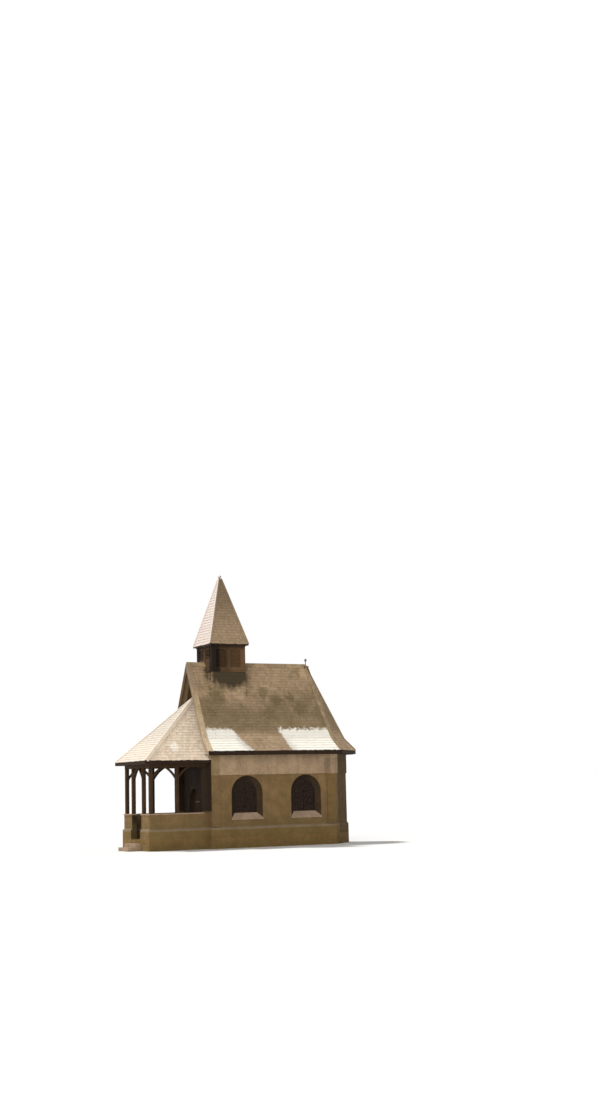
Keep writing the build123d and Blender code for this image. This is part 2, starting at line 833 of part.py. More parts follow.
def brace(x, y, angle):
    """A curved knee brace of one depth, from the side of a post up to the beam."""
    out = turn(angle)
    near = post_size / 2
    far = near + brace_reach
    low = beam_bottom - brace_reach
    bow = brace_bow / sqrt(2)

    def bowed(start, end):
        """An edge of the brace that bends up into the corner."""
        middle = ((start[0] + end[0]) / 2 - bow, (start[1] + end[1]) / 2 + bow)
        ThreePointArc(start, middle, end)

    with BuildPart() as strut:
        with BuildSketch(Plane(origin=(x, y, 0), x_dir=(*out, 0), z_dir=(out[1], -out[0], 0))):
            with BuildLine():
                Line((near, low - brace_width), (near, low))
                bowed((near, low), (far, beam_bottom))
                Line((far, beam_bottom), (far + brace_width, beam_bottom))
                bowed((far + brace_width, beam_bottom), (near, low - brace_width))
            make_face()
        extrude(amount=brace_thickness / 2, both=True)
    return strut.part


with BuildPart() as porch_braces:
    for direction in (-1, 1):
        add(brace(post_front, direction * post_line, 0))
        add(brace(post_middle, direction * post_line, 0))
        add(brace(post_middle, direction * post_line, 180))
        add(brace(post_front, direction * post_gap, -90 * direction))
write(porch_braces.part, "porch_braces")
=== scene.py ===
import json
import random
from math import cos, pi, radians, sin, sqrt, tan

import bmesh
import bpy
from bpy.props import FloatProperty, FloatVectorProperty, IntProperty, PointerProperty
from bpy.types import Operator, Panel, PropertyGroup
from mathutils import Matrix, Vector


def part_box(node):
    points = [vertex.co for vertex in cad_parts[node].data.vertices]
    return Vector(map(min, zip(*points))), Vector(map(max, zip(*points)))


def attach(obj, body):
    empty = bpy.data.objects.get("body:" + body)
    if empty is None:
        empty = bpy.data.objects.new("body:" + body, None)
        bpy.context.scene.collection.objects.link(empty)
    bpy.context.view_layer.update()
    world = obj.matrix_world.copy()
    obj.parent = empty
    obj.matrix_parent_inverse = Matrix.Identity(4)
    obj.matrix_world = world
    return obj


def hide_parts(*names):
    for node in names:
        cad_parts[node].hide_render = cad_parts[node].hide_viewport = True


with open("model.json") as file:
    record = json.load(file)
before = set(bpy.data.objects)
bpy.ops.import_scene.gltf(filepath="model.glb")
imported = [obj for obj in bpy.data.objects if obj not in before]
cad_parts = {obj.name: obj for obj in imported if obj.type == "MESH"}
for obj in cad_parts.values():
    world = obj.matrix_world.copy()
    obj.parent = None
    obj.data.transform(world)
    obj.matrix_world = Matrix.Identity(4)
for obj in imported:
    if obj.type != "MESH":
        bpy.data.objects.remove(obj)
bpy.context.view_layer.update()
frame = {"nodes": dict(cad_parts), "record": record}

bl_info = {
    "name": "Small Mountain Chapel",
    "version": (1, 0, 0),
    "blender": (4, 5, 0),
    "location": "View3D > Sidebar > Chapel",
    "description": "Shingles, boards, bars, stones and weathered finishes for a small chapel",
    "category": "Object",
}


def at(x, y, z):
    """A place, or a direction."""
    return Vector((x, y, z))


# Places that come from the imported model
roof_lo, roof_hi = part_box("roof_south")
east_lo, east_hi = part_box("roof_apse_east")
shaft_lo, shaft_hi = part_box("turret_shaft")
skirt_lo, skirt_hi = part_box("turret_skirt")
spire_lo, spire_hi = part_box("spire")
hood_lo, hood_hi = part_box("porch_roof_front")
ceiling_lo, ceiling_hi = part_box("porch_ceiling")
leaf_lo, leaf_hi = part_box("door_leaf")
frames_lo, frames_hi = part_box("window_frames")
frieze_lo, frieze_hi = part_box("frieze_south")
soffit_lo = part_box("eave_soffit")[0]
front_x = hood_hi.x
verge_x = roof_lo.x
eave_y = -roof_lo.y
ridge_z = roof_hi.z
ridge_end = east_lo.x
turret_x = (shaft_lo.x + shaft_hi.x) / 2

# Points inside each roof, from which its slopes face away
ROOF_CENTRE = at(0.5, 0, 3)
PORCH_CENTRE = at(front_x + 0.5, 0, 3)
SKIRT_CENTRE = at(turret_x, 0, 7.5)
SPIRE_CENTRE = at(turret_x, 0, 10)

# What turns a place on the south side into its twin on the north side
NORTH_SIDE = at(1, -1, 1)

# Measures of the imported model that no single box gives
PARAPET_THICKNESS = 0.22
WINDOW_HALF = 0.80
SASH_HALF = 0.575
SILL_PROJECTION = 0.04
WALL_THICKNESS = 0.41
FRIEZE_FOOT = 3.30
PORCH_HIP_RATIO = 0.596
APSE_HIP_RATIO = 0.25
APSE_HIP_START = 3.66

# The photo's height and the camera's focal length in its pixels, and where the camera stands and looks
PHOTO_HEIGHT = 1100
FOCAL_LENGTH = 1500
CAMERA_PLACE = (-30.6553, -65.0822, 2.5061)
CAMERA_YAW, CAMERA_PITCH, CAMERA_ROLL = 0.4827, 0.1592, 0.0251


def length(name, description, metres):
    """A length that a user may change."""
    return FloatProperty(name=name, description=description, default=metres, unit="LENGTH")


def tint(name, description, rgb):
    """A colour that a user may change."""
    return FloatVectorProperty(name=name, description=description, subtype="COLOR", size=3,
                               min=0, max=1, default=rgb)


class ChapelSizes(PropertyGroup):
    """Sizes of what is laid on, nailed to or set into the chapel."""

    roof_depth: length("Roof depth", "Upright depth of the main roof's slopes", 0.17)
    porch_roof_depth: length("Porch roof depth", "Upright depth of the porch roof's slopes", 0.13)
    knee_run: length("Flare run", "How far the flared foot of the roof runs out", 0.55)
    knee_rise: length("Flare rise", "How far the flared foot of the roof rises", 0.55)
    fascia: length("Spire fascia", "Height of the upright edge at the spire's foot", 0.07)
    spire_tip: length("Spire tip", "Width of the spire at its top", 0.11)
    ledge_height: length("Ledge height", "Height of the plinth's ledge over the ground", 0.93)
    plinth_projection: length("Plinth projection", "How far the plinth stands out", 0.06)
    shingle_width: length("Shingle width", "Mean width of a roof shingle", 0.125)
    shingle_exposure: length("Exposure", "Height of a course of shingles that shows", 0.155)
    shingle_butt: length("Butt thickness", "Thickness of a shingle at its lower end", 0.024)
    shingle_head: length("Head thickness", "Thickness of a shingle at its upper end", 0.006)
    eave_drip: length("Drip", "How far the first course hangs over the eave", 0.035)
    cover_board: length("Cover board", "Width of the boards on ridge and hips", 0.15)
    verge_board: length("Verge board", "Width of the boards along the roof's front edge", 0.24)
    hip_board: length("Spire hip board", "Width of the boards on the spire's hips", 0.07)
    slab_length: length("Floor slab", "Length of a floor slab in the porch", 0.52)
    coping_length: length("Coping stone", "Length of a coping stone between its joints", 0.64)
    board_width: length("Board width", "Width of a wall or ceiling board", 0.19)
    board_thickness: length("Board thickness", "Thickness of a wall or ceiling board", 0.022)
    batten_width: length("Batten width", "Width of the strips over the board joints", 0.05)
    glazing_bar: length("Glazing bar", "Width of a thin window bar", 0.026)
    mullion: length("Mullion", "Width of the window's middle post and cross rail", 0.055)
    seed: IntProperty(name="Seed", description="Seed of everything that varies from piece to piece",
                      default=7)


class ChapelColours(PropertyGroup):
    """Colours of the finishes, as linear red, green and blue."""

    wall: tint("Wall", "Weathered lime render of the walls", (0.193, 0.121, 0.052))
    frieze: tint("Frieze", "Smooth band under the eave", (0.345, 0.24, 0.145))
    plinth: tint("Plinth", "Rough base under the ledge", (0.205, 0.125, 0.045))
    stone: tint("Pale stone", "Sills, copings and steps", (0.345, 0.245, 0.165))
    roof: tint("Roof shingles", "Weathered shingles of the main roof", (0.37, 0.26, 0.155))
    moss: tint("Moss", "Damp dark growth between the shingles", (0.13, 0.095, 0.035))
    # Used for painted sunlight on the roof's foot, and for a pale spot on the porch roof
    bleached: tint("Bleached shingles", "Shingles that the sun has bleached", (1.0, 0.935, 0.83))
    spire: tint("Spire shingles", "Weathered shingles of the spire", (0.335, 0.235, 0.142))
    # Also used for the turret's painted shadow below it, and for the dark joints of the stones
    damp: tint("Damp", "Dark damp marks under the turret", (0.10, 0.07, 0.035))
    porch: tint("Porch shingles", "Pale shingles of the porch roof", (0.75, 0.615, 0.47))
    # The porch roof's front slope: a greyer copy of the porch shingles that stands for painted light, as lit
    # faces come out whiter
    porch_weathered: tint("Porch weather side", "Shingles on the porch roof's front slope",
                          (0.695, 0.62, 0.525))
    # The spire's front side: a lighter copy of the spire shingles that stands for painted light
    spire_weathered: tint("Spire weather side", "Shingles on the spire's bleached side", (0.66, 0.565, 0.505))
    dark_timber: tint("Dark timber", "Stained posts, beams and fascia boards", (0.048, 0.026, 0.012))
    turret: tint("Turret boards", "Brown boards of the turret", (0.074, 0.042, 0.019))
    # A near-black colour for painted shade only: turret corners, under the spire's eave, window reveals,
    # inside the porch and in the doorway
    soot: tint("Soot", "Near-black timber of louvres and sheltered corners", (0.010, 0.006, 0.004))
    # Near-black boards: painted shade on the front wall inside the porch, partly painted shade in the fascia
    # boards, and the window bars and frames
    boarding: tint("Porch boarding", "Sooty boards inside the porch", (0.024, 0.013, 0.007))
    gable: tint("Gable boards", "Dark boards of the gable", (0.056, 0.030, 0.011))
    verge: tint("Verge boards", "Pale boards along the roof's front edge", (0.46, 0.34, 0.20))
    trim: tint("Trim", "Bargeboards and cover boards", (0.30, 0.215, 0.125))
    glass: tint("Glass", "Old window glass", (0.110, 0.050, 0.030))
    metal: tint("Metal", "Dull sheet metal and iron", (0.16, 0.13, 0.10))
    paving: tint("Paving", "Worn floor slabs", (0.33, 0.26, 0.18))
    floor: tint("Studio floor", "Plain floor around the chapel", (0.80, 0.79, 0.77))


def sizes():
    """The sizes that the operators work with."""
    return bpy.context.scene.chapel_sizes


def colour(name, share=1.0):
    """One of the colours, darkened or lightened by a share."""
    return (*[min(1.0, c * share) for c in getattr(bpy.context.scene.chapel_colours, name)], 1.0)


def knee_level():
    """Height of the line where the steep slope meets its flared foot."""
    return roof_lo.z + sizes().roof_depth + sizes().knee_rise


# Small tools for node trees

class Signal:
    """A node's output, which takes part in sums as a number or a vector does."""

    def __init__(self, socket):
        self.socket, self.tree = socket, socket.id_data

    def sum(self, operation, other=0.0, swapped=False):
        kind = "ShaderNodeVectorMath" if self.socket.type == "VECTOR" else "ShaderNodeMath"
        first, second = (other, self) if swapped else (self, other)
        return put(self.tree, kind, {0: first, 1: second}, operation=operation)

    def __add__(self, other):
        return self.sum("ADD", other)

    def __sub__(self, other):
        return self.sum("SUBTRACT", other)

    def __rsub__(self, other):
        return self.sum("SUBTRACT", other, swapped=True)

    def __mul__(self, other):
        return self.sum("MULTIPLY", other)

    def __truediv__(self, other):
        return self.sum("DIVIDE", other)

    def __abs__(self):
        return self.sum("ABSOLUTE")


def feed(socket, value):
    """Give an input a plain value, or a link from a signal."""
    if isinstance(value, Signal):
        value.tree.links.new(value.socket, socket)
    else:
        socket.default_value = value


def add(tree, kind, values=None, **settings):
    """Add a node with its settings, feed its inputs, and give all its outputs."""
    node = tree.nodes.new(kind)
    for name, value in settings.items():
        setattr(node, name, value)
    for key, value in (values or {}).items():
        feed(node.inputs[key], value)
    return [Signal(socket) for socket in node.outputs]


def put(tree, kind, values=None, **settings):
    """Add a node, and give its first output."""
    return add(tree, kind, values, **settings)[0]


def shared_tree(*values):
    """The tree of the first signal among some values."""
    return next(value.tree for value in values if isinstance(value, Signal))


def split(vector):
    """The three parts of a vector."""
    return add(vector.tree, "ShaderNodeSeparateXYZ", {0: vector})


def xyz(x, y, z):
    """A vector from its three parts."""
    return put(shared_tree(x, y, z), "ShaderNodeCombineXYZ", {0: x, 1: y, 2: z})


def span(value, low, high, start=0.0, end=1.0):
    """A value moved smoothly from one range to another."""
    return put(value.tree, "ShaderNodeMapRange", {0: value, 1: low, 2: high, 3: start, 4: end},
               interpolation_type="SMOOTHSTEP")


def fall(value, low, high):
    """A mask that is full up to the low value and gone from the high one."""
    return span(value, low, high, 1.0, 0.0)


def highest(first, *others):
    """The largest of several numbers."""
    for other in others:
        first = first.sum("MAXIMUM", other)
    return first


def blend(share, first, second, mode="MIX"):
    """Two colours mixed by a share."""
    return add(shared_tree(share, first, second), "ShaderNodeMix", {0: share, 6: first, 7: second},
               data_type="RGBA", blend_type=mode)[2]


def noise(vector, scale, detail, roughness=0.5, distortion=0.0):
    """Cloudy noise from 0 to 1."""
    return put(vector.tree, "ShaderNodeTexNoise", {
        "Vector": vector, "Scale": scale, "Detail": detail, "Roughness": roughness, "Distortion": distortion})


def wander(vector, scale, detail, width):
    """A shift to both sides of zero that makes an edge ragged."""
    return (noise(vector, scale, detail) - 0.5) * width


def node_group(name, kind, inputs, outputs, fill):
    """A node group with named sockets, filled the first time that it is asked for."""
    if name in bpy.data.node_groups:
        return bpy.data.node_groups[name]
    tree = bpy.data.node_groups.new(name, kind)
    for label, default in inputs.items():
        known = {float: "Float", int: "Int", tuple: "Vector"}.get(type(default))
        socket = tree.interface.new_socket(label, in_out="INPUT", socket_type=f"NodeSocket{known or default}")
        if known:
            socket.default_value = default
    for label, known in outputs.items():
        tree.interface.new_socket(label, in_out="OUTPUT", socket_type=f"NodeSocket{known}")
    sources = tree.nodes.new("NodeGroupInput").outputs
    given = {socket.name: Signal(socket) for socket in sources if socket.name}
    for socket, result in zip(tree.nodes.new("NodeGroupOutput").inputs, fill(tree, given)):
        feed(socket, result)
    return tree


# Geometry trees for what repeats

def stored(tree, name, data_type="FLOAT"):
    """An attribute of the lines."""
    return put(tree, "GeometryNodeInputNamedAttribute", {"Name": name}, data_type=data_type)


def marked(pieces, name, value, domain):
    """Pieces that carry a number, which their finish reads."""
    return put(pieces.tree, "GeometryNodeStoreNamedAttribute", {0: pieces, "Name": name, "Value": value},
               data_type="FLOAT", domain=domain)


def chance(seed, step, low, high):
    """A random number for each point, with its own seed."""
    return add(seed.tree, "FunctionNodeRandomValue", {2: low, 3: high, 8: seed + step}, data_type="FLOAT")[1]


def realized(pieces, finish):
    """The result of a tree: instances made real, in their material."""
    pieces = put(pieces.tree, "GeometryNodeRealizeInstances", {0: pieces})
    return [put(pieces.tree, "GeometryNodeSetMaterial", {0: pieces, "Material": finish})]


def laid_course(tree, given):
    """Shingles or boards side by side along each line, butted to the line and facing out of the slope."""
    lift, drop, tilt, spread = (given[name] for name in ("Lift", "Drop", "Tilt", "Width spread"))
    seed, spacing = given["Seed"], stored(tree, "spacing")
    along, out = (stored(tree, name, "FLOAT_VECTOR") for name in ("along", "out"))
    x, y, z = split(put(tree, "GeometryNodeInputPosition"))
    share = y + 0.5
    thickness = put(tree, "ShaderNodeMapRange", {0: share, 3: given["Butt"], 4: given["Head"]})
    shape = xyz(x, share * given["Length"], (z + 0.5) * thickness)
    block = marked(put(tree, "GeometryNodeMeshCube"), "butt", 1.0 - share, "POINT")
    block = put(tree, "GeometryNodeSetPosition", {0: block, "Position": shape})
    lines = put(tree, "GeometryNodeMeshToCurve", {0: given["Lines"]})
    rows = put(tree, "GeometryNodeResampleCurve", {0: lines, "Length": spacing}, mode="LENGTH")
    offset = out.sum("CROSS_PRODUCT", along) * chance(seed, 2, drop * -1.0, drop)
    offset = offset + out * chance(seed, 1, lift, lift + tilt * 0.1)
    rows = put(tree, "GeometryNodeSetPosition", {0: rows, "Offset": offset})
    turned = put(tree, "FunctionNodeAlignRotationToVector", {"Vector": along}, axis="X")
    turned = put(tree, "FunctionNodeAlignRotationToVector", {"Rotation": turned, "Vector": out},
                 axis="Z", pivot_axis="X")
    lean = chance(seed, 3, tilt * -1.0, tilt)
    swing = chance(seed, 4, tilt * -0.5, tilt * 0.5)
    wobble = put(tree, "FunctionNodeEulerToRotation", {0: xyz(lean * 0.4, lean, swing)})
    turned = put(tree, "FunctionNodeRotateRotation", {"Rotation": turned, "Rotate By": wobble},
                 rotation_space="LOCAL")
    width = (spacing - given["Gap"]) * chance(seed, 5, 1.0 - spread, spread + 1.0)
    pieces = put(tree, "GeometryNodeInstanceOnPoints", {
        "Points": rows, "Instance": block, "Rotation": turned, "Scale": xyz(width, 1.0, 1.0)})
    return realized(marked(pieces, "tone", chance(seed, 6, 0.0, 1.0), "INSTANCE"), given["Finish"])


def course_tree():
    """The tree that lays courses."""
    return node_group("Laid course", "GeometryNodeTree", {
        "Lines": "Geometry", "Length": 0.2, "Butt": 0.02, "Head": 0.006, "Gap": 0.004, "Width spread": 0.0,
        "Drop": 0.0, "Tilt": 0.0, "Lift": 0.0, "Seed": 1, "Finish": "Material"},
        {"Pieces": "Geometry"}, laid_course)


def square_bars(tree, given):
    """Square-edged bars that follow lines."""
    lines = put(tree, "GeometryNodeMeshToCurve", {0: given["Lines"]})
    profile = put(tree, "GeometryNodeCurvePrimitiveQuadrilateral",
                  {"Width": given["Width"], "Height": given["Depth"]}, mode="RECTANGLE")
    bars = put(tree, "GeometryNodeCurveToMesh", {0: lines, "Profile Curve": profile, "Fill Caps": True})
    return realized(bars, given["Finish"])


def bars_tree():
    """The tree that makes bars."""
    return node_group("Bars on lines", "GeometryNodeTree", {
        "Lines": "Geometry", "Width": 0.03, "Depth": 0.03, "Finish": "Material"},
        {"Pieces": "Geometry"}, square_bars)


def row_mesh(name, rows):
    """Lines for the trees: each row is start, end, outward direction and spacing."""
    mesh = bpy.data.meshes.new(name)
    points = [point for row in rows for point in row[:2]]
    mesh.from_pydata(points, [(i, i + 1) for i in range(0, len(points), 2)], [])
    kinds = {"along": "FLOAT_VECTOR", "out": "FLOAT_VECTOR", "spacing": "FLOAT"}
    for label, kind in kinds.items():
        mesh.attributes.new(label, kind, "POINT")
    along, outward, wide = (mesh.attributes[label].data for label in kinds)
    for index in range(len(points)):
        start, end, out, spacing = rows[index // 2]
        along[index].vector = (end - start).normalized()
        outward[index].vector = out
        wide[index].value = spacing
    return mesh


def grown(name, rows, tree, slot, **inputs):
    """Run a geometry tree on rows, and keep the result as a plain piece."""
    carrier = bpy.data.objects.new(name, row_mesh(name + "_rows", rows))
    bpy.context.scene.collection.objects.link(carrier)
    modifier = carrier.modifiers.new(tree.name, "NODES")
    modifier.node_group = tree
    for socket in tree.interface.items_tree:
        key = socket.name.replace(" ", "_").lower()
        if socket.in_out == "INPUT" and key in inputs:
            modifier[socket.identifier] = inputs[key]
    depsgraph = bpy.context.evaluated_depsgraph_get()
    result = bpy.data.meshes.new_from_object(carrier.evaluated_get(depsgraph), preserve_all_data_layers=True,
                                             depsgraph=depsgraph)
    if not result.polygons:
        raise RuntimeError(f"{name}: the tree made nothing")
    carrier.modifiers.clear()
    carrier.data = result
    result.name = name
    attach(carrier, "root")
    return carrier


def laid(name, rows, slot, seed_step, **inputs):
    """Shingles, boards or slabs in rows, as one piece."""
    return grown(name, rows, course_tree(), slot, seed=sizes().seed + seed_step, finish=finish_for(slot),
                 **inputs)


def solid(name, bm, material):
    """An object from a bmesh, with its faces turned outwards."""
    bmesh.ops.recalc_face_normals(bm, faces=bm.faces)
    mesh = bpy.data.meshes.new(name)
    bm.to_mesh(mesh)
    bm.free()
    mesh.materials.append(material)
    piece = bpy.data.objects.new(name, mesh)
    bpy.context.scene.collection.objects.link(piece)
    return piece


def built(name, bm, slot, finish=None):
    """A piece from a bmesh, in the finish of its slot or in one of its own."""
    piece = solid(name, bm, finish_for(finish or slot))
    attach(piece, "root")
    return piece


# Slopes of the roofs

class Slope:
    """A flat stretch of roof between two upper and two lower corners, which faces away from a centre."""

    def __init__(self, centre, top_left, foot_left, top_right, foot_right):
        self.centre = centre
        self.corners = top_left, foot_left, top_right, foot_right
        across = foot_right - foot_left
        self.across = across if across.length > 0.001 else top_right - top_left
        out = self.across.cross(top_left - foot_left).normalized()
        middle = (top_left + foot_left + top_right + foot_right) / 4
        self.out = out if out.dot(middle - centre) > 0 else -out

    def mirrored(self):
        """The same slope on the north side."""
        return Slope(self.centre, *[corner * NORTH_SIDE for corner in self.corners])

    def overhung(self, reach):
        """The same slope with its foot a little further down."""
        top_left, foot_left, top_right, foot_right = self.corners
        return Slope(self.centre, top_left, foot_left + (foot_left - top_left).normalized() * reach,
                     top_right, foot_right + (foot_right - top_right).normalized() * reach)


def main_slopes():
    """The upper and the flared part of every slope of the main roof."""
    eave_z = roof_lo.z + sizes().roof_depth
    share = 1 - sizes().knee_run / eave_y
    corner, end = at(roof_hi.x, -eave_y, eave_z), at(east_hi.x, east_lo.y, eave_z)
    front, ridge = at(verge_x, 0, ridge_z), at(ridge_end, 0, ridge_z)

    def knee(foot):
        top = at(ridge_end if foot.x > verge_x else verge_x, 0, foot.z)
        point = top.lerp(foot, share)
        return at(point.x, point.y, knee_level())

    slopes = {}
    for side, top, left, right in (("south", front, at(verge_x, -eave_y, eave_z), corner),
                                   ("southeast", ridge, corner, end), ("east", ridge, end, end * NORTH_SIDE)):
        slopes[side] = [Slope(ROOF_CENTRE, top, knee(left), ridge, knee(right)),
                        Slope(ROOF_CENTRE, knee(left), left, knee(right), right)]
    for side, twin in (("northeast", "southeast"), ("north", "south")):
        slopes[side] = [slope.mirrored() for slope in slopes[twin]]
    return slopes


def porch_slopes():
    """The three slopes of the porch roof."""
    eave_z = hood_lo.z + sizes().porch_roof_depth
    top = at(front_x, 0, hood_hi.z)
    corner, wall_end = at(hood_lo.x, hood_lo.y, eave_z), at(front_x, hood_lo.y, eave_z)
    south = Slope(PORCH_CENTRE, top, wall_end, top, corner)
    return {"front": [Slope(PORCH_CENTRE, top, corner, top, corner * NORTH_SIDE)], "south": [south],
            "north": [south.mirrored()]}


def spire_slopes():
    """The four faces of the spire."""
    foot, tip = (spire_hi.x - spire_lo.x) / 2, sizes().spire_tip / 2
    low, high = spire_lo.z + sizes().fascia, spire_hi.z
    corners = ((-tip, -tip, high), (-foot, -foot, low), (tip, -tip, high), (foot, -foot, low))
    slopes = {}
    for side, angle in (("south", 0), ("east", 90), ("north", 180), ("west", 270)):
        turn = Matrix.Rotation(radians(angle), 3, "Z")
        slopes[side] = [Slope(SPIRE_CENTRE, *[at(turret_x, 0, 0) + turn @ at(*p) for p in corners])]
    return slopes


def skirt_slopes():
    """The upright shingled sides of the turret's foot, above the main roof."""
    half, low, high = shaft_hi.y, skirt_lo.z, skirt_hi.z
    pitch = (ridge_z - low) / half
    inner = (ridge_z - high) / pitch
    left, right = shaft_lo.x, shaft_hi.x
    sides = [Slope(SKIRT_CENTRE, at(left, -half, high), at(left, -half, low), at(right, -half, high),
                   at(right, -half, low))]
    for x in (left, right):
        sides.append(Slope(SKIRT_CENTRE, at(x, -half, high), at(x, -half, low), at(x, -inner, high),
                           at(x, -half, low)))
    return sides + [side.mirrored() for side in sides]


def course_rows(slopes, exposure, width, seed, reach):
    """Rows for the courses on a set of slopes, from the foot up."""
    rng = random.Random(seed)
    rows = []
    for slope in slopes:
        top_left, foot_left, top_right, foot_right = slope.corners
        across = slope.across.normalized()
        upward = slope.out.cross(across)
        if upward.z < 0:
            across, upward = -across, -upward
            top_left, top_right, foot_left, foot_right = top_right, top_left, foot_right, foot_left
        count = max(1, round((top_left - foot_left).dot(upward) / exposure))
        for row in range(count):
            shares = (row / count, (row + 1) / count)
            starts = [foot_left.lerp(top_left, share).dot(across) for share in shares]
            ends = [foot_right.lerp(top_right, share).dot(across) for share in shares]
            base = foot_left.lerp(top_left, row / count)
            spacing = width * rng.uniform(0.84, 1.16)
            start = max(starts) + spacing / 2 - reach
            end = min(ends) - spacing / 2 + reach
            if end - start < spacing * 0.6:
                continue
            origin = base - across * base.dot(across)
            fitted = (end - start) / max(1, round((end - start) / spacing))
            rows.append((origin + across * start, origin + across * end, slope.out, fitted * 0.999))
    return rows


def shingled(name, slopes, slot, seed_step, reach, exposure_share=1.0, width_share=1.0):
    """A shingled roof as one piece."""
    s = sizes()
    exposure = s.shingle_exposure * exposure_share
    rows = course_rows(slopes, exposure, s.shingle_width * width_share, s.seed + seed_step, reach)
    laid(name, rows, slot, seed_step, length=exposure * 1.3, butt=s.shingle_butt, head=s.shingle_head,
         gap=0.003, width_spread=0.10, drop=0.011, tilt=0.02)


# Shader groups that more than one finish uses

def shader_group(name, outputs, **defaults):
    """Make a function the content of a shader group, which takes the function's values as its inputs."""
    def wrap(draw):
        def fill(tree, given):
            made = draw(**{label.lower(): signal for label, signal in given.items()})
            return made if isinstance(made, tuple) else (made,)

        def place_group(vector, **values):
            inputs = {"Vector": "Vector", **{key.capitalize(): value for key, value in defaults.items()}}
            node = vector.tree.nodes.new("ShaderNodeGroup")
            node.node_tree = node_group(name, "ShaderNodeTree", inputs, dict.fromkeys(outputs, "Float"), fill)
            for key, value in {"vector": vector, **values}.items():
                feed(node.inputs[key.capitalize()], value)
            made = [Signal(socket) for socket in node.outputs]
            return made if len(made) > 1 else made[0]
        return place_group
    return wrap


@shader_group("Patches", ["Mask"], scale=1.0, low=0.4, high=0.6)
def patches(vector, scale, low, high):
    """Cloudy mask with soft edges."""
    return span(noise(vector, scale, 5.0, 0.62), low, high)


@shader_group("Timber grain", ["Grain", "Height"], stretch=(60.0, 60.0, 3.0), shift=0.0)
def timber_grain(vector, stretch, shift):
    """Timber grain along the direction in which the pattern is stretched."""
    place = vector * stretch + xyz(shift, shift, shift)
    fibre = noise(place, 1.0, 4.0, 0.7)
    figure = noise(place, 0.22, 2.0, distortion=0.8)
    return span(fibre * 0.6 + figure * 0.4, 0.32, 0.68), fibre


@shader_group("Rain streaks", ["Mask"], scale=5.0)
def rain_streaks(vector, scale):
    """Marks that rain has left down an upright surface."""
    return span(noise(vector * (1.0, 1.0, 0.14), scale, 4.0, 0.55), 0.46, 0.68)


@shader_group("Hand-laid render", ["Tone", "Height"], grit=1.0)
def render_coat(vector, grit):
    """Uneven hand-laid render: a tone and a height."""
    sweep = noise(vector, 2.3, 3.0)
    trowel = noise(vector, 11.0, 5.0, 0.6)
    sand = noise(vector, 85.0, 3.0, 0.7)
    return span(sweep * 0.5 + trowel * 0.5, 0.34, 0.66), trowel * 0.7 + sand * 0.3 * grit


@shader_group("Between heights", ["Mask"], low=0.0, high=1.0, ragged=0.1)
def between_heights(vector, low, high, ragged):
    """Mask that rises between two heights."""
    return span(split(vector)[2] + wander(vector, 3.0, 4.0, ragged), low, high)


class Look:
    """A finish in the making: its shader's inputs, the object's own coordinates and the colour so far."""

    def __init__(self, name, roughness, specular):
        self.material = bpy.data.materials.new(name)
        self.material.use_nodes = True
        self.tree = self.material.node_tree
        self.shader = self.tree.nodes["Principled BSDF"].inputs
        self.shader["Roughness"].default_value = roughness
        self.shader["Specular IOR Level"].default_value = specular
        coordinates = self.tree.nodes.new("ShaderNodeTexCoord").outputs
        self.place, self.normal = Signal(coordinates["Object"]), Signal(coordinates["Normal"])
        self.x, self.y, self.z = split(self.place)
        self.base = None

    def attribute(self, name):
        """A number that the piece's mesh carries."""
        return add(self.tree, "ShaderNodeAttribute", attribute_name=name)[2]

    def paint(self, share, over, mode="MIX"):
        """Lay a colour over the one so far, by a share."""
        self.base = blend(share, self.base, over, mode)

    def shade(self, share, red, green, blue):
        """Darken or lighten the red, green and blue of the colour so far, by a share."""
        self.paint(share, (red, green, blue, 1.0), "MULTIPLY")

    def finish(self, roughness, height, depth):
        """Feed the shader with the colour, the roughness and a small relief."""
        bump = put(self.tree, "ShaderNodeBump", {"Strength": 1.0, "Distance": depth, "Height": height})
        for name, value in (("Base Color", self.base), ("Roughness", roughness), ("Normal", bump)):
            feed(self.shader[name], value)


# Weather on the parts of the chapel

def spot(look, spot_x, spot_z, radius):
    """A ragged round patch on a slope, alike on both sides."""
    aside = (look.x - spot_x).sum("POWER", 2.0)
    above = (look.z - spot_z).sum("POWER", 2.0)
    distance = (aside + above).sum("SQRT") + wander(look.place, 7.0, 3.0, radius * 2.0)
    return fall(distance, radius * 0.5, radius * 1.25)


def verge_weather(look, grain):
    """Darker at the top, lighter at the foot, and painted shade on the north side."""
    look.shade(span(look.z, 6.6, 8.0), 0.66, 0.64, 0.70)
    look.shade(fall(look.z, 5.3, 6.5), 1.22, 1.26, 1.38)
    # Painted shade: the north side is darkened toward the gable's colour
    look.paint(span(look.y, 0.0, 0.15, 0.0, 0.9), colour("gable", 1.3))


def turret_weather(look, grain):
    """Lighter toward the apse; nearly black with painted shade at the front corners and under the spire's
    eave.
    """
    look.paint(span(look.x, turret_x - 0.05, turret_x + 0.30, 0.0, 0.75), colour("turret", 1.9))
    shift = wander(look.place, 5.0, 3.0, 0.14)
    front = fall(look.x + shift, shaft_lo.x + 0.34, shaft_lo.x + 0.46)
    side = span(abs(look.y) + shift, shaft_hi.y - 0.38, shaft_hi.y - 0.28)
    shade_under_eave = span(look.z + shift, shaft_hi.z - 0.26, shaft_hi.z - 0.08, 0.0, 0.7)
    # Painted shade: the front corners and a band under the spire's eave are darkened where shade falls
    look.paint(highest(front * side, shade_under_eave) * 0.92, colour("soot"))


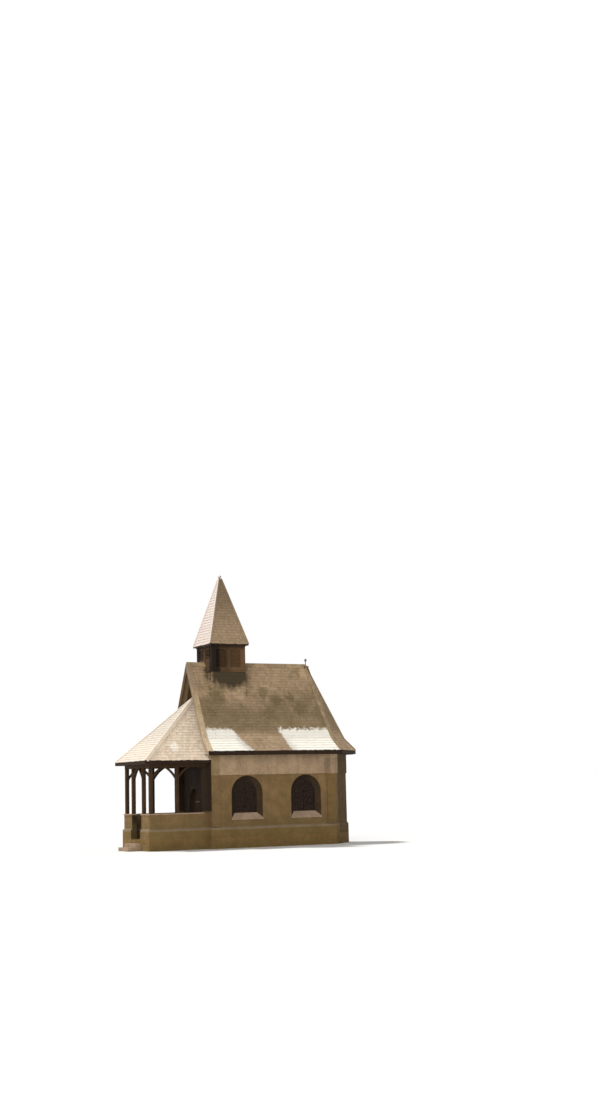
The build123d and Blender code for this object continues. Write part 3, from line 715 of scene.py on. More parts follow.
def spire_weather(look, grain):
    """Darker toward the tip, and lighter on the front side with painted light."""
    look.paint(span(look.z, spire_lo.z + 0.5, spire_hi.z - 0.6, 0.0, 0.75), colour("spire", 0.5))
    # Painted light: the front faces get the lighter colour of a lit face
    front = span(turret_x - look.x - abs(look.y), -0.03, 0.02)
    look.paint(front, blend(grain, colour("spire_weathered", 0.90), colour("spire_weathered", 1.10)))


def porch_weather(look, grain):
    """A greyer colour with painted light on the front slope, darker high on the side slopes, with a pale spot
    low on them.
    """
    side = span(abs(look.y) - (front_x - look.x) * PORCH_HIP_RATIO, -0.03, 0.02)
    look.paint(span(look.z, 4.7, 6.6, 0.0, 0.20) * side, colour("porch", 0.42))
    front = 1.0 - side
    # Painted light: the front slope gets the greyer colour of a lit face
    look.paint(front * 0.85, blend(grain, colour("porch_weathered", 0.9), colour("porch_weathered", 1.08)))
    look.shade(front * span(look.z, 4.4, 5.6), 0.87, 0.88, 0.88)
    look.paint(spot(look, -4.0, 4.62, 0.22) * side * 0.8, colour("bleached"))


def roof_weather(look, grain):
    """Moss, damp with the turret's painted shadow, lighter apse slopes, a pale spot at the ridge's end and
    painted sunlight on the courses at the foot.
    """
    moss_by_height(look)
    # Damp and the turret's painted shadow below it
    look.paint(damp_and_shadow_below_turret(look), colour("damp", 0.5))
    along = look.x - abs(look.y) * APSE_HIP_RATIO
    apse = span(along, APSE_HIP_START, APSE_HIP_START + 0.06) * span(look.z, 5.0, 5.6)
    look.shade(apse, 1.32, 1.32, 1.42)
    look.paint(spot(look, ridge_end - 0.15, ridge_z - 0.35, 0.35) * 0.5, colour("roof", 1.7))
    nave = fall(along, APSE_HIP_START - 0.06, APSE_HIP_START)
    sunlit_wood = blend(grain, colour("bleached", 0.94), colour("bleached", 1.05))
    # Painted sunlight on the flare, with the turret's shadow left out between the patches
    look.paint(sunlit_flare_patches(look) * nave, sunlit_wood)


def moss_by_height(look):
    """Mossier from the middle of the slope down to the knee, and lighter on the flare under it with painted
    light.
    """
    cloud = patches(look.place, scale=0.75, low=0.38, high=0.62)
    flare = fall(look.z, knee_level() - 0.05, knee_level() + 0.55)
    share = fall(look.z + cloud * 0.9, 6.9, 8.1) * span(cloud, 0.0, 1.0, 0.60, 0.42)
    look.paint(share * (1.0 - flare), colour("moss"))
    mossy = highest(*[spot(look, *where) for where in (
        (0.95, 7.2, 0.30), (1.55, 6.85, 0.36), (2.35, 6.95, 0.26), (2.7, 6.35, 0.40), (-1.5, 7.3, 0.45))])
    look.paint(mossy * 0.55, colour("moss"))
    # Painted light: the flare is lightened, as if its lower pitch caught more light
    look.shade(flare, 1.42, 1.44, 1.55)


def damp_and_shadow_below_turret(look):
    """Dark damp mark on the turret's foot and on the slope under it, which is also the turret's painted
    shadow.
    """
    fray = wander(look.place, 3.5, 4.0, 0.7)
    across = abs(look.x + fray * 0.6 - (turret_x + 0.12))
    level = look.z + fray - across * 0.35
    return span(level, skirt_hi.z - 1.05, skirt_hi.z - 0.65) * fall(across, 0.85, 1.25)


def sunlit_flare_patches(look):
    """Painted sunlight on the courses at the roof's foot, on both long sides, with a gap below the turret for
    its painted shadow.
    """
    shift = wander(look.place, 6.0, 3.0, 0.5)
    below = fall(look.z + shift, knee_level() + 0.36, knee_level() + 0.56)
    wide = span(abs(look.y), 1.2, 1.3)
    fray = look.x + (look.z - (knee_level() - sizes().knee_rise)) * 0.75 + shift * 0.8
    left, right = fall(fray, -0.50, -0.32), span(fray - look.z * 0.4, -0.24, -0.06)
    return highest(left, right) * (below * wide)


def wall_weather(look, coat):
    """Plinth colour under the ledge and a paler ledge, with painted shade in the reveals, on the apse and
    inside the porch and doorway.
    """
    x, deep, z = look.x, abs(look.y), look.z
    ledge, face = sizes().ledge_height, -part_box("south_wall")[0].y - sizes().plinth_projection
    look.paint(fall(z, ledge - 0.01, ledge), blend(coat, colour("plinth", 0.8), colour("plinth", 1.2)))
    band = span(z, ledge - 0.085, ledge - 0.075) * fall(z, ledge + 0.045, ledge + 0.055)
    look.paint(band, blend(coat, colour("stone", 0.72), colour("stone", 0.95)))
    inner = face - WALL_THICKNESS
    reveal = fall(deep, face - 0.016, face - 0.006) * span(deep, inner, inner + 0.01)
    nave = span(x, front_x + 0.45, front_x + 0.5) * fall(x, 3.4, 3.5)
    # Painted shade in the window reveals, a little stronger on the reveals that face toward the apse
    look.paint(reveal * nave * span(split(look.normal)[0], -0.5, 0.1, 0.84, 0.95), colour("soot", 1.6))
    # Painted shade on the apse wall
    look.paint(span(x, frieze_hi.x + 0.28, frieze_hi.x + 0.38, 0.0, 0.66), colour("plinth", 0.26))
    # Painted shade inside the porch, above its parapets, and in the doorway
    porch = fall(x, front_x + 0.002, front_x + 0.008) * span(z, 1.60, 1.75)
    doorway = fall(deep, leaf_hi.y + 0.10, leaf_hi.y + 0.12) * fall(x, front_x + 0.60, front_x + 0.62)
    look.paint(highest(porch, doorway * span(z, 0.50, 0.60)) * 0.92, colour("soot", 2.2))


def frieze_weather(look, coat):
    """Strips at the wall's ends in the wall's colour, a dark gap beside the corner, and painted shade on the
    apse.
    """
    corner, foot = frieze_hi.x, (FRIEZE_FOOT - 0.01, FRIEZE_FOOT + 0.01)
    strip, upper = fall(look.z, *foot), span(look.z, *foot)
    look.paint(strip, blend(coat, colour("wall", 0.75), colour("wall", 1.0)))
    look.shade(fall(look.x, frieze_lo.x + 0.36, frieze_lo.x + 0.44) * upper, 0.76, 0.76, 0.62)
    look.shade(span(look.x, corner - 0.62, corner - 0.56) * fall(look.z, 3.98, 4.08), 0.72, 0.70, 0.70)
    look.shade(span(look.x, corner - 0.26, corner - 0.22) * upper, 1.34, 1.38, 1.42)
    look.shade(span(look.x, corner - 0.7, corner - 0.6) * strip, 1.32, 1.34, 1.18)
    # Painted shade on the apse
    look.paint(span(look.x, corner + 0.28, corner + 0.38, 0.0, 0.88), colour("plinth", 0.28))


def stone_joints(look, coat):
    """Thin dark joints between the coping stones, and between the stones of the steps."""
    def joints(value):
        share = (value / sizes().coping_length + 100.25).sum("FRACT")
        return fall(abs(share - 0.5), 0.008, 0.014)

    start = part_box("parapet_copings")[0].x
    front, outside = fall(look.x, start + 0.40, start + 0.42), fall(look.x, front_x - 0.05, front_x)
    both = highest(joints(look.y) * front, joints(look.x) * (1.0 - front))
    look.paint(both * outside * 0.75, colour("damp", 0.8))


# Finishes

def timber_finish(name, tint, worn, weather=None):
    """Weathered sawn timber with grain, streaks and uneven boards."""
    look = Look(name, 0.78, 0.14)
    tone = look.attribute("tone")
    grain, fibre = timber_grain(look.place, stretch=(70.0, 70.0, 4.0), shift=tone * 40.0)
    look.base = blend(grain, colour(tint, 0.62), colour(tint, 1.25))
    look.paint(patches(look.place, scale=1.7, low=0.40, high=0.68) * worn, colour(tint, 1.9))
    look.paint(span(tone, 0.0, 1.0, 0.0, 0.5), colour(tint, 0.75))
    if weather:
        weather(look, grain)
    look.finish(span(grain, 0.0, 1.0, 0.88, 0.68), fibre, 0.004)


def shingle_finish(name, tint, pale=0.0, bare=False, weather=None):
    """Split shingles, greyed and bleached by the weather, or the bare slope under them."""
    look = Look(name, 0.86, 0.25)
    tone, butt = look.attribute("tone"), look.attribute("butt")
    grain, fibre = timber_grain(look.place, stretch=(42.0, 42.0, 3.5), shift=tone * 60.0)
    look.base = blend(grain, colour(tint, 0.80), colour(tint, 1.15))
    look.paint(span(tone, 0.0, 1.0, 0.0, 0.55), colour(tint, 1.35))
    look.paint(patches(look.place, scale=0.9, low=0.50, high=0.70) * (0.45 * (1 - pale)), colour("moss"))
    fine = patches(look.place, scale=5.0, low=0.48, high=0.75)
    look.paint(fine * (0.35 * (1 - 0.6 * pale)), colour(tint, 0.6))
    if weather:
        weather(look, grain)
    look.paint(span(butt, 0.9, 1.0, 0.0, 0.35), colour(tint, 0.5))
    if bare:
        look.paint(0.45, colour("moss"))
    look.finish(span(grain, 0.0, 1.0, 0.92, 0.78), fibre, 0.004)


def masonry_finish(name, tint, grit=1.0, damp=(0.0, 0.9), depth=0.012, weather=None):
    """Rendered or dressed masonry with hand-laid unevenness, streaks and damp at its foot."""
    look = Look(name, 0.92, 0.14)
    coat, height = render_coat(look.place, grit=grit)
    look.base = blend(coat, colour(tint, 0.82), colour(tint, 1.18))
    look.paint(patches(look.place, scale=0.8, low=0.48, high=0.72) * 0.28, colour(tint, 0.62))
    look.paint(rain_streaks(look.place, scale=5.0) * 0.22, colour(tint, 0.55))
    if weather:
        weather(look, coat)
    dry = between_heights(look.place, low=damp[0], high=damp[1], ragged=0.5)
    look.paint((1.0 - dry) * 0.45, colour("moss"))
    look.finish(span(coat, 0.0, 1.0, 0.96, 0.84), height, depth)


def glass_finish(name, tint):
    """Old window glass, a little dusty and wavy."""
    look = Look(name, 0.12, 0.12)
    dust = patches(look.place, scale=6.0, low=0.35, high=0.8)
    look.base = blend(dust, colour(tint, 1.0), colour(tint, 0.8))
    look.shader["Transmission Weight"].default_value = 0.85
    look.shader["IOR"].default_value = 1.22
    look.finish(span(dust, 0.0, 1.0, 0.06, 0.32), noise(look.place, 4.0, 1.0), 0.006)


def metal_finish(name, tint):
    """Dull metal with dark patina, and the colour of the spire's lit side at the top of its finial."""
    look = Look(name, 0.5, 0.5)
    patina = patches(look.place, scale=14.0, low=0.35, high=0.7)
    look.base = blend(patina, colour(tint, 1.5), colour(tint, 0.7))
    look.paint(span(look.z, spire_hi.z - 0.2, spire_hi.z - 0.1), colour("spire_weathered", 0.75))
    feed(look.shader["Metallic"], span(patina, 0.0, 1.0, 0.8, 0.3))
    look.finish(span(patina, 0.0, 1.0, 0.42, 0.75), patina, 0.001)


# Every material of the chapel: the function that makes it, its colour and what else the function takes
FINISHES = {
    "wall_plaster_finish": (masonry_finish, "wall", {"damp": (0.95, 1.5), "weather": wall_weather}),
    "frieze_plaster_finish": (masonry_finish, "frieze", {"grit": 0.5, "damp": (0.9, 1.3), "depth": 0.006,
                                                         "weather": frieze_weather}),
    "plinth_stone_finish": (masonry_finish, "plinth", {"grit": 1.6, "damp": (0.0, 0.5), "depth": 0.03}),
    "pale_stone_finish": (masonry_finish, "stone", {"grit": 0.7, "damp": (-0.2, 0.2), "depth": 0.005,
                                                    "weather": stone_joints}),
    "floor_stone_finish": (masonry_finish, "paving", {"grit": 0.4, "damp": (-0.2, 0.1), "depth": 0.004}),
    "roof_shingles_finish": (shingle_finish, "roof", {"weather": roof_weather}),
    "roof_shingles_bare": (shingle_finish, "roof", {"bare": True}),
    "porch_shingles_finish": (shingle_finish, "porch", {"pale": 0.9, "weather": porch_weather}),
    "porch_shingles_bare": (shingle_finish, "porch", {"bare": True, "weather": porch_weather}),
    "spire_shingles_finish": (shingle_finish, "spire", {"pale": 0.4, "weather": spire_weather}),
    "spire_shingles_bare": (shingle_finish, "spire", {"bare": True, "weather": spire_weather}),
    "dark_timber_finish": (timber_finish, "dark_timber", {"worn": 0.22}),
    "turret_boards_finish": (timber_finish, "turret", {"worn": 0.25, "weather": turret_weather}),
    "turret_louvres_finish": (timber_finish, "turret", {"worn": 0.1, "weather": turret_weather}),
    "eave_timber_finish": (timber_finish, "boarding", {"worn": 0.15}),
    "porch_boarding_finish": (timber_finish, "boarding", {"worn": 0.1}),
    "gable_timber_finish": (timber_finish, "gable", {"worn": 0.2}),
    "verge_boards_finish": (timber_finish, "verge", {"worn": 0.3, "weather": verge_weather}),
    "bargeboards_finish": (timber_finish, "trim", {"worn": 0.3, "weather": verge_weather}),
    "trim_timber_finish": (timber_finish, "trim", {"worn": 0.5}),
    "window_glass_finish": (glass_finish, "glass", {}),
    "finial_metal_finish": (metal_finish, "metal", {}),
}


def finish_for(slot, ending="_finish"):
    """The finish of one of the record's material slots, or of a part with a finish of its own."""
    name = slot + ending
    if name not in bpy.data.materials:
        make, tint, values = FINISHES[name]
        make(name, tint, **values)
    return bpy.data.materials[name]


# Shapes for boards and stones

def slab(bm, low, high, chamfer):
    """A block between two corners, with its edges eased."""
    made = bmesh.ops.create_cube(bm, size=1.0)["verts"]
    middle, extent = (low + high) / 2, high - low
    for vert in made:
        vert.co = middle + vert.co * extent
    edges = list({edge for vert in made for edge in vert.link_edges})
    bmesh.ops.bevel(bm, geom=edges, offset=chamfer, segments=1, affect="EDGES")


def prism(bm, outline, direction):
    """A flat outline pushed along a direction, as a closed block."""
    near = [bm.verts.new(p) for p in outline]
    far = [bm.verts.new(p + direction) for p in outline]
    bm.faces.new(near)
    bm.faces.new(reversed(far))
    count = len(outline)
    for i in range(count):
        bm.faces.new((near[i], far[i], far[(i + 1) % count], near[(i + 1) % count]))


def arch_rise(half, y):
    """How far a round arch stands over its spring line, at a distance from its middle."""
    return sqrt(max(0.0, half * half - y * y))


def seam(first, second):
    """The line that two slopes share, from its foot up, with both their directions."""
    shared = [p for p in first.corners for q in second.corners if (p - q).length < 0.001]
    low, high = (pick(shared, key=lambda p: p.z) for pick in (min, max))
    return low, high, first.out, second.out


def cover_boards(name, slot, lines, width, thickness, lift):
    """Boards on both sides of every hip or ridge: a line has its two ends and the two slopes' directions."""
    bm = bmesh.new()
    upper = lift + thickness
    for foot, top, first, second in lines:
        slant = tan(first.angle(second) / 2)
        for out, other in ((first, second), (second, first)):
            across = out.cross((top - foot).normalized()).normalized()
            if across.dot(other) > 0:
                across = -across
            prism(bm, [foot + across * aside + out * height for aside, height in (
                (-lift * slant, lift), (-upper * slant, upper), (width, upper), (width, lift))], top - foot)
    return built(name, bm, slot)


def fascia(bm, slope, bottom, thickness):
    """A board on edge along an eave, a little long at both ends so that it meets its neighbours."""
    left, right = slope.corners[1], slope.corners[3]
    top = left.z - 0.004
    flat = at(slope.out.x, slope.out.y, 0).normalized()
    along = (right - left).normalized() * thickness * 0.42
    prism(bm, [at(p.x, p.y, z) for p, z in ((left - along, bottom), (right + along, bottom),
                                            (right + along, top), (left - along, top))], flat * thickness)


def sill_stone(bm, x, side, depths, heights):
    """A sloping sill that fills the splayed foot of a window opening, with a nose before the wall."""
    stations = []
    for y, half, (low, high) in zip(depths, (WINDOW_HALF, WINDOW_HALF, SASH_HALF), heights):
        reach = half - 0.003
        stations.append([bm.verts.new((x + across, side * y, z)) for across, z in (
            (-reach, low), (reach, low), (reach, high), (-reach, high))])
    for near, far in zip(stations, stations[1:]):
        for i in range(4):
            bm.faces.new((near[i], near[(i + 1) % 4], far[(i + 1) % 4], far[i]))
    bm.faces.new(stations[0])
    bm.faces.new(reversed(stations[-1]))


def window_places():
    """The middle of each window along the nave, with its side: -1 for south and 1 for north."""
    return [(x, side) for x in (frames_lo.x + SASH_HALF, frames_hi.x - SASH_HALF) for side in (-1, 1)]


class CHAPEL_OT_roof_shingles(Operator):
    """Lay the courses of shingles on the main roof and round the turret's foot"""
    bl_idname = "chapel.roof_shingles"
    bl_label = "Main roof shingles"

    def execute(self, context):
        for step, (side, (upper, flare)) in enumerate(main_slopes().items()):
            reach = 0.045 if side in ("south", "north") else 0.02
            slopes = [upper, flare.overhung(sizes().eave_drip)]
            shingled(f"shingles_{side}", slopes, "roof_shingles", 10 + step, reach)
        shingled("shingles_turret_foot", skirt_slopes(), "roof_shingles", 20, 0.01)
        return {"FINISHED"}


class CHAPEL_OT_porch_shingles(Operator):
    """Lay the courses of shingles on the porch roof"""
    bl_idname = "chapel.porch_shingles"
    bl_label = "Porch roof shingles"

    def execute(self, context):
        for step, (side, (slope,)) in enumerate(porch_slopes().items()):
            slopes = [slope.overhung(sizes().eave_drip)]
            shingled(f"porch_shingles_{side}", slopes, "porch_shingles", 30 + step, 0.02)
        return {"FINISHED"}


class CHAPEL_OT_spire_shingles(Operator):
    """Lay the courses of small shingles on the spire"""
    bl_idname = "chapel.spire_shingles"
    bl_label = "Spire shingles"

    def execute(self, context):
        for step, (side, (slope,)) in enumerate(spire_slopes().items()):
            slopes = [slope.overhung(sizes().eave_drip)]
            shingled(f"spire_shingles_{side}", slopes, "spire_shingles", 40 + step, 0.02,
                     exposure_share=0.9, width_share=0.85)
        return {"FINISHED"}


class CHAPEL_OT_cover_boards(Operator):
    """Nail the cover boards on the ridge and on every hip"""
    bl_idname = "chapel.cover_boards"
    bl_label = "Ridge and hip boards"

    def execute(self, context):
        s = sizes()
        main = list(main_slopes().values())
        hips = [pair for left, right in zip(main, main[1:]) for pair in zip(left, right)]
        lines = [seam(first, second) for first, second in hips]
        for start, end in ((verge_x - 0.05, shaft_lo.x), (shaft_hi.x, ridge_end)):
            lines.append((at(start, 0, ridge_z), at(end, 0, ridge_z), main[0][0].out, main[-1][0].out))
        piece = cover_boards("ridge_and_hip_boards", "trim_timber", lines, s.cover_board, 0.022, 0.021)
        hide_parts("roof_caps")
        front, south, north = (slopes[0] for slopes in porch_slopes().values())
        lines = [seam(front, south), seam(front, north)]
        piece = cover_boards("porch_hip_boards", "porch_shingles", lines, s.cover_board * 0.85, 0.02, 0.021)
        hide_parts("porch_hips")
        faces = [slopes[0] for slopes in spire_slopes().values()]
        lines = [seam(face, other) for face, other in zip(faces, faces[1:] + faces[:1])]
        cover_boards("spire_hip_boards", "spire_shingles", lines, s.hip_board, 0.014, 0.020)
        return {"FINISHED"}


class CHAPEL_OT_verge_boards(Operator):
    """Lay boards along the front edge of the main slopes, and aprons where the porch roof meets the wall"""
    bl_idname = "chapel.verge_boards"
    bl_label = "Verge and apron boards"

    def execute(self, context):
        reach, low, high = 0.055, 0.018, 0.044
        across = sizes().verge_board - reach
        verges, aprons = bmesh.new(), bmesh.new()
        for side in ("south", "north"):
            upper, flare = main_slopes()[side]
            for slope in (upper, flare.overhung(sizes().eave_drip + 0.01)):
                top, foot, out = *slope.corners[:2], slope.out
                prism(verges, [foot + at(aside, 0, 0) + out * height for aside, height in (
                    (-reach, low), (across, low), (across, high), (-reach, high))], top - foot)
            slope = porch_slopes()[side][0]
            top, foot, out = *slope.corners[:2], slope.out
            prism(aprons, [foot + out * height - at(aside, 0, 0) for aside, height in (
                (0, 0.02), (0.11, 0.02), (0.11, 0.036), (0.02, 0.09), (0, 0.09))], (top - foot) * 0.97)
        built("verge_boards", verges, "trim_timber", "verge_boards")
        built("porch_aprons", aprons, "trim_timber")
        return {"FINISHED"}


class CHAPEL_OT_fascia_boards(Operator):
    """Nail dark boards on edge along every eave and round the spire's foot"""
    bl_idname = "chapel.fascia_boards"
    bl_label = "Fascia boards"

    def execute(self, context):
        bm = bmesh.new()
        for roof, bottom, thickness in ((main_slopes(), soffit_lo.z, 0.022),
                                        (porch_slopes(), ceiling_lo.z - 0.012, 0.022),
                                        (spire_slopes(), spire_lo.z - 0.012, 0.018)):
            for slopes in roof.values():
                fascia(bm, slopes[-1], bottom, thickness)
        # Their near-black colour is partly painted shade: it stands for the shadow line under the eaves and
        # under the spire's foot
        built("fascia_boards", bm, "dark_timber", "eave_timber")
        return {"FINISHED"}


class CHAPEL_OT_porch_boarding(Operator):
    """Board the nave's front wall inside the porch, round the arched doorway"""
    bl_idname = "chapel.porch_boarding"
    bl_label = "Boarding in the porch"

    def execute(self, context):
        s = sizes()
        frame_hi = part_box("door_frame")[1]
        respond_lo, respond_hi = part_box("porch_responds")
        half, low, high = frame_hi.y, respond_lo.z, ceiling_lo.z
        reach = respond_hi.y - s.plinth_projection - 0.25
        count = round(2 * reach / s.board_width)
        pitch = 2 * reach / count

        def foot(y, over_door):
            inside = min(max(y, 0.0005 - half), half - 0.0005)
            return frame_hi.z - half + arch_rise(half, inside) if over_door else low

        bm = bmesh.new()
        for i in range(count):
            left, right = -reach + pitch * i + 0.003, -reach + pitch * (i + 1) - 0.003
            stops = sorted({left, right, *[edge for edge in (-half, half) if left < edge < right]})
            for a, b in zip(stops, stops[1:]):
                over_door = abs((a + b) / 2) < half
                feet = [at(front_x, y, foot(y, over_door)) for y in (a + (b - a) * k / 4 for k in range(5))]
                prism(bm, feet + [at(front_x, b, high), at(front_x, a, high)], at(-s.board_thickness, 0, 0))
        # The boards' near-black colour is painted shade on the front wall under the porch roof
        built("porch_boarding", bm, "dark_timber", "porch_boarding")
        return {"FINISHED"}


class CHAPEL_OT_gable_boards(Operator):
    """Nail upright boards and battens on the gable, above the porch roof"""
    bl_idname = "chapel.gable_boards"
    bl_label = "Gable boards"

    def execute(self, context):
        s = sizes()
        gable_lo, gable_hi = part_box("gable_boards")
        face, half = gable_lo.x, gable_hi.y
        steep = (ridge_z - knee_level()) / (eave_y - s.knee_run)
        hood = (hood_hi.z - hood_lo.z - s.porch_roof_depth) / hood_hi.y

        def top(y):
            return ridge_z - s.roof_depth - steep * abs(y) + 0.03

        def foot(y):
            return max(gable_lo.z, hood_hi.z - hood * abs(y) - 0.04)

        bm = bmesh.new()
        count = round(2 * half / s.board_width)
        edges = [-half + 2 * half / count * i for i in range(count + 1)]
        for left, right in zip(edges, edges[1:]):
            ys = [left + 0.003, right - 0.003]
            if left < 0 < right:
                ys.insert(1, 0.0)
            outline = [at(face, y, foot(y)) for y in ys]
            outline += [at(face, y, max(top(y), foot(y) + 0.01)) for y in reversed(ys)]
            prism(bm, outline, at(-s.board_thickness, 0, 0))
        for y in edges[1:-1]:
            ys = [y - s.batten_width / 2, y + s.batten_width / 2]
            outline = [at(face - s.board_thickness, p, foot(p)) for p in ys]
            outline += [at(face - s.board_thickness, p, top(p)) for p in reversed(ys)]
            prism(bm, outline, at(-0.018, 0, 0))
        built("gable_cladding", bm, "gable_timber")
        return {"FINISHED"}


class CHAPEL_OT_turret_trim(Operator):
    """Fit corner boards, sills, a moulding under the spire and the backing of the louvres to the turret"""
    bl_idname = "chapel.turret_trim"
    bl_label = "Turret trim"

    def execute(self, context):
        half, low, high = shaft_hi.y, shaft_lo.z, shaft_hi.z
        middle = at(turret_x, 0, 0)
        louvre_lo, louvre_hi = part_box("turret_louvres")
        depth, light, post, foot = half - 0.105, 0.61, 0.13, louvre_lo.z - 0.03
        # Left, right, projection, lower and upper edge and chamfer of what is fixed to one side
        boards = ((-half - 0.022, -half + 0.095, 0.022, low, high, 0.004),
                  (half - 0.095, half, 0.022, low, high, 0.004),
                  (-half - 0.03, half + 0.03, 0.045, low - 0.01, low + 0.045, 0.008),
                  (-half - 0.03, half + 0.03, 0.05, high - 0.07, high, 0.01),
                  (-0.045, 0.045, 0.018, low + 0.045, high - 0.07, 0.004))
        bm = bmesh.new()
        rows = []
        for quarter in range(4):
            turn = Matrix.Rotation(quarter * pi / 2, 3, "Z")
            start = len(bm.verts)
            for left, right, projection, bottom, top, chamfer in boards:
                slab(bm, at(left, -half - projection, bottom), at(right, -half, top), chamfer)
            bm.verts.ensure_lookup_table()
            for vert in bm.verts[start:]:
                vert.co = middle + turn @ vert.co
            for side in (-1, 1):
                centre = side * (light + post) / 2
                ends = [middle + turn @ at(centre + k * (light / 2 - 0.05), -depth, 0) for k in (-1, 1)]
                rows.append((*[at(end.x, end.y, foot) for end in ends], turn @ at(0, -1, 0), 0.127))
        built("turret_trim", bm, "dark_timber", "turret_boards")
        laid("louvre_backing", rows, "dark_timber", 60, length=louvre_hi.z - louvre_lo.z + 0.06, butt=0.02,
             head=0.02, gap=0.002)
        return {"FINISHED"}


class CHAPEL_OT_ceiling_boards(Operator):
    """Lay the boards of the porch ceiling and of the eaves' undersides"""
    bl_idname = "chapel.ceiling_boards"
    bl_label = "Ceiling and eave boards"

    def execute(self, context):
        spacing = sizes().board_width * 0.75
        down = at(0, 0, -1)
        half = spacing / 2
        ends = [at(front_x - 0.01, y, ceiling_lo.z) for y in (ceiling_hi.y - half, ceiling_lo.y + half)]
        laid("porch_ceiling_boards", [(*ends, down, spacing)], "dark_timber", 50,
             length=front_x - ceiling_lo.x - 0.02, butt=0.014, head=0.014, gap=0.006)
        rows = []
        for step, (side, (upper, flare)) in enumerate(main_slopes().items()):
            flat = at(flare.out.x, flare.out.y, 0).normalized()
            along = at(flat.y, -flat.x, 0)
            first, last = sorted((flare.corners[1], flare.corners[3]), key=lambda p: p.dot(along))
            inset = along * (half + (0.02 if side in ("south", "north") else 0.24))
            level = soffit_lo.z - 0.0015 * (step % 2)
            ends = [at(p.x, p.y, level) - flat * 0.006 for p in (first + inset, last - inset)]
            rows.append((*ends, down, spacing))
        laid("eave_boards", rows, "dark_timber", 55, length=frieze_lo.y - soffit_lo.y - 0.01, butt=0.012,
             head=0.012, gap=0.006)
        return {"FINISHED"}


class CHAPEL_OT_porch_paving(Operator):
    """Lay the floor slabs of the porch"""
    bl_idname = "chapel.porch_paving"
    bl_label = "Porch paving"

    def execute(self, context):
        slab_length, slab_width, stagger = sizes().slab_length, 0.44, 0.16
        floor_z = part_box("porch_base")[1].z
        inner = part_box("porch_parapets")[1].y - PARAPET_THICKNESS - 0.225
        rows = []
        for row in range(round((front_x - ceiling_lo.x - 0.40) / slab_length)):
            x, shift = front_x - 0.01 - slab_length * row, stagger * (row % 2)
            ends = [at(x, y + shift, floor_z) for y in (-inner, inner - stagger)]
            rows.append((*ends, at(0, 0, 1), slab_width))
        laid("porch_paving", rows, "floor_stone", 57, length=slab_length - 0.01, butt=0.012, head=0.012,
             gap=0.01)
        return {"FINISHED"}


class CHAPEL_OT_window_bars(Operator):
    """Set the wooden bars in front of the window glass"""
    bl_idname = "chapel.window_bars"
    bl_label = "Window bars"

    def execute(self, context):
        low, high = (corner.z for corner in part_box("window_glass"))
        half = 0.505
        spring = high - half
        thick, thin = [], []
        for x, side in window_places():
            y, out = side * (frames_hi.y - 0.02), at(0, side, 0)
            thick.append((at(x, y, low), at(x, y, high), out, 1.0))
            thick.append((at(x - half, y, spring), at(x + half, y, spring), out, 1.0))
            for z in (low + (spring - low) * share for share in (1 / 3, 2 / 3)):
                thin.append((at(x - half, y, z), at(x + half, y, z), out, 1.0))
            for angle in (radians(45), radians(135)):
                tip = at(x + half * cos(angle), y, spring + half * sin(angle))
                thin.append((at(x, y, spring), tip, out, 1.0))
        for kind, rows, width in (("thick", thick, sizes().mullion), ("thin", thin, sizes().glazing_bar)):
            grown(f"window_bars_{kind}", rows, bars_tree(), "dark_timber", width=width, depth=width,
                  finish=finish_for("eave_timber"))
        return {"FINISHED"}


class CHAPEL_OT_window_sills(Operator):
    """Bed a sloping stone sill in the foot of every window"""
    bl_idname = "chapel.window_sills"
    bl_label = "Window sills"

    def execute(self, context):
        sill_lo, sill_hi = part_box("window_sills")
        outer, inner = sill_hi.y, frames_hi.y
        nose, thickness = 0.035, 0.06
        share = SILL_PROJECTION / (outer - inner)
        low, top = sill_lo.z, sill_lo.z + nose
        heights = ((low, top), (low, top + (sill_hi.z - top) * share), (sill_hi.z - thickness, sill_hi.z))
        bm = bmesh.new()
        for x, side in window_places():
            sill_stone(bm, x, side, (outer, outer - SILL_PROJECTION, inner), heights)
        piece = built("sill_stones", bm, "pale_stone")
        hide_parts("window_sills")
        return {"FINISHED"}


class CHAPEL_OT_door_boards(Operator):
    """Face the door with upright boards, hinges and a latch"""
    bl_idname = "chapel.door_boards"
    bl_label = "Door boards and fittings"

    def execute(self, context):
        face, foot, half = leaf_lo.x, leaf_lo.z, leaf_hi.y
        spring = leaf_hi.z - half
        count = 5
        pitch = 2 * half / count
        bm = bmesh.new()
        for i in range(count):
            left, right = -half + pitch * i + 0.002, -half + pitch * (i + 1) - 0.002
            steps = [left + (right - left) * k / 4 for k in range(5)]
            outline = [at(face, y, foot + 0.01) for y in (left, right)]
            outline += [at(face, y, spring + arch_rise(half, y) - 0.004) for y in reversed(steps)]
            prism(bm, outline, at(-0.018, 0, 0))
        built("door_boards", bm, "dark_timber")
        bm = bmesh.new()
        # Depth of both faces before the leaf, sideways from and to, lower and upper edge and chamfer
        for near, far, left, right, low, high, chamfer in (
                (0.026, 0.018, 0.01 - half, half * 0.6, foot + 0.30, foot + 0.345, 0.003),
                (0.026, 0.018, 0.01 - half, half * 0.6, spring - 0.05, spring - 0.005, 0.003),
                (0.026, 0.018, half - 0.15, half - 0.07, foot + 0.92, foot + 1.10, 0.003),
                (0.05, 0.026, half - 0.125, half - 0.095, foot + 1.03, foot + 1.05, 0.004)):
            slab(bm, at(face - near, left, low), at(face - far, right, high), chamfer)
        built("door_fittings", bm, "finial_metal")
        return {"FINISHED"}


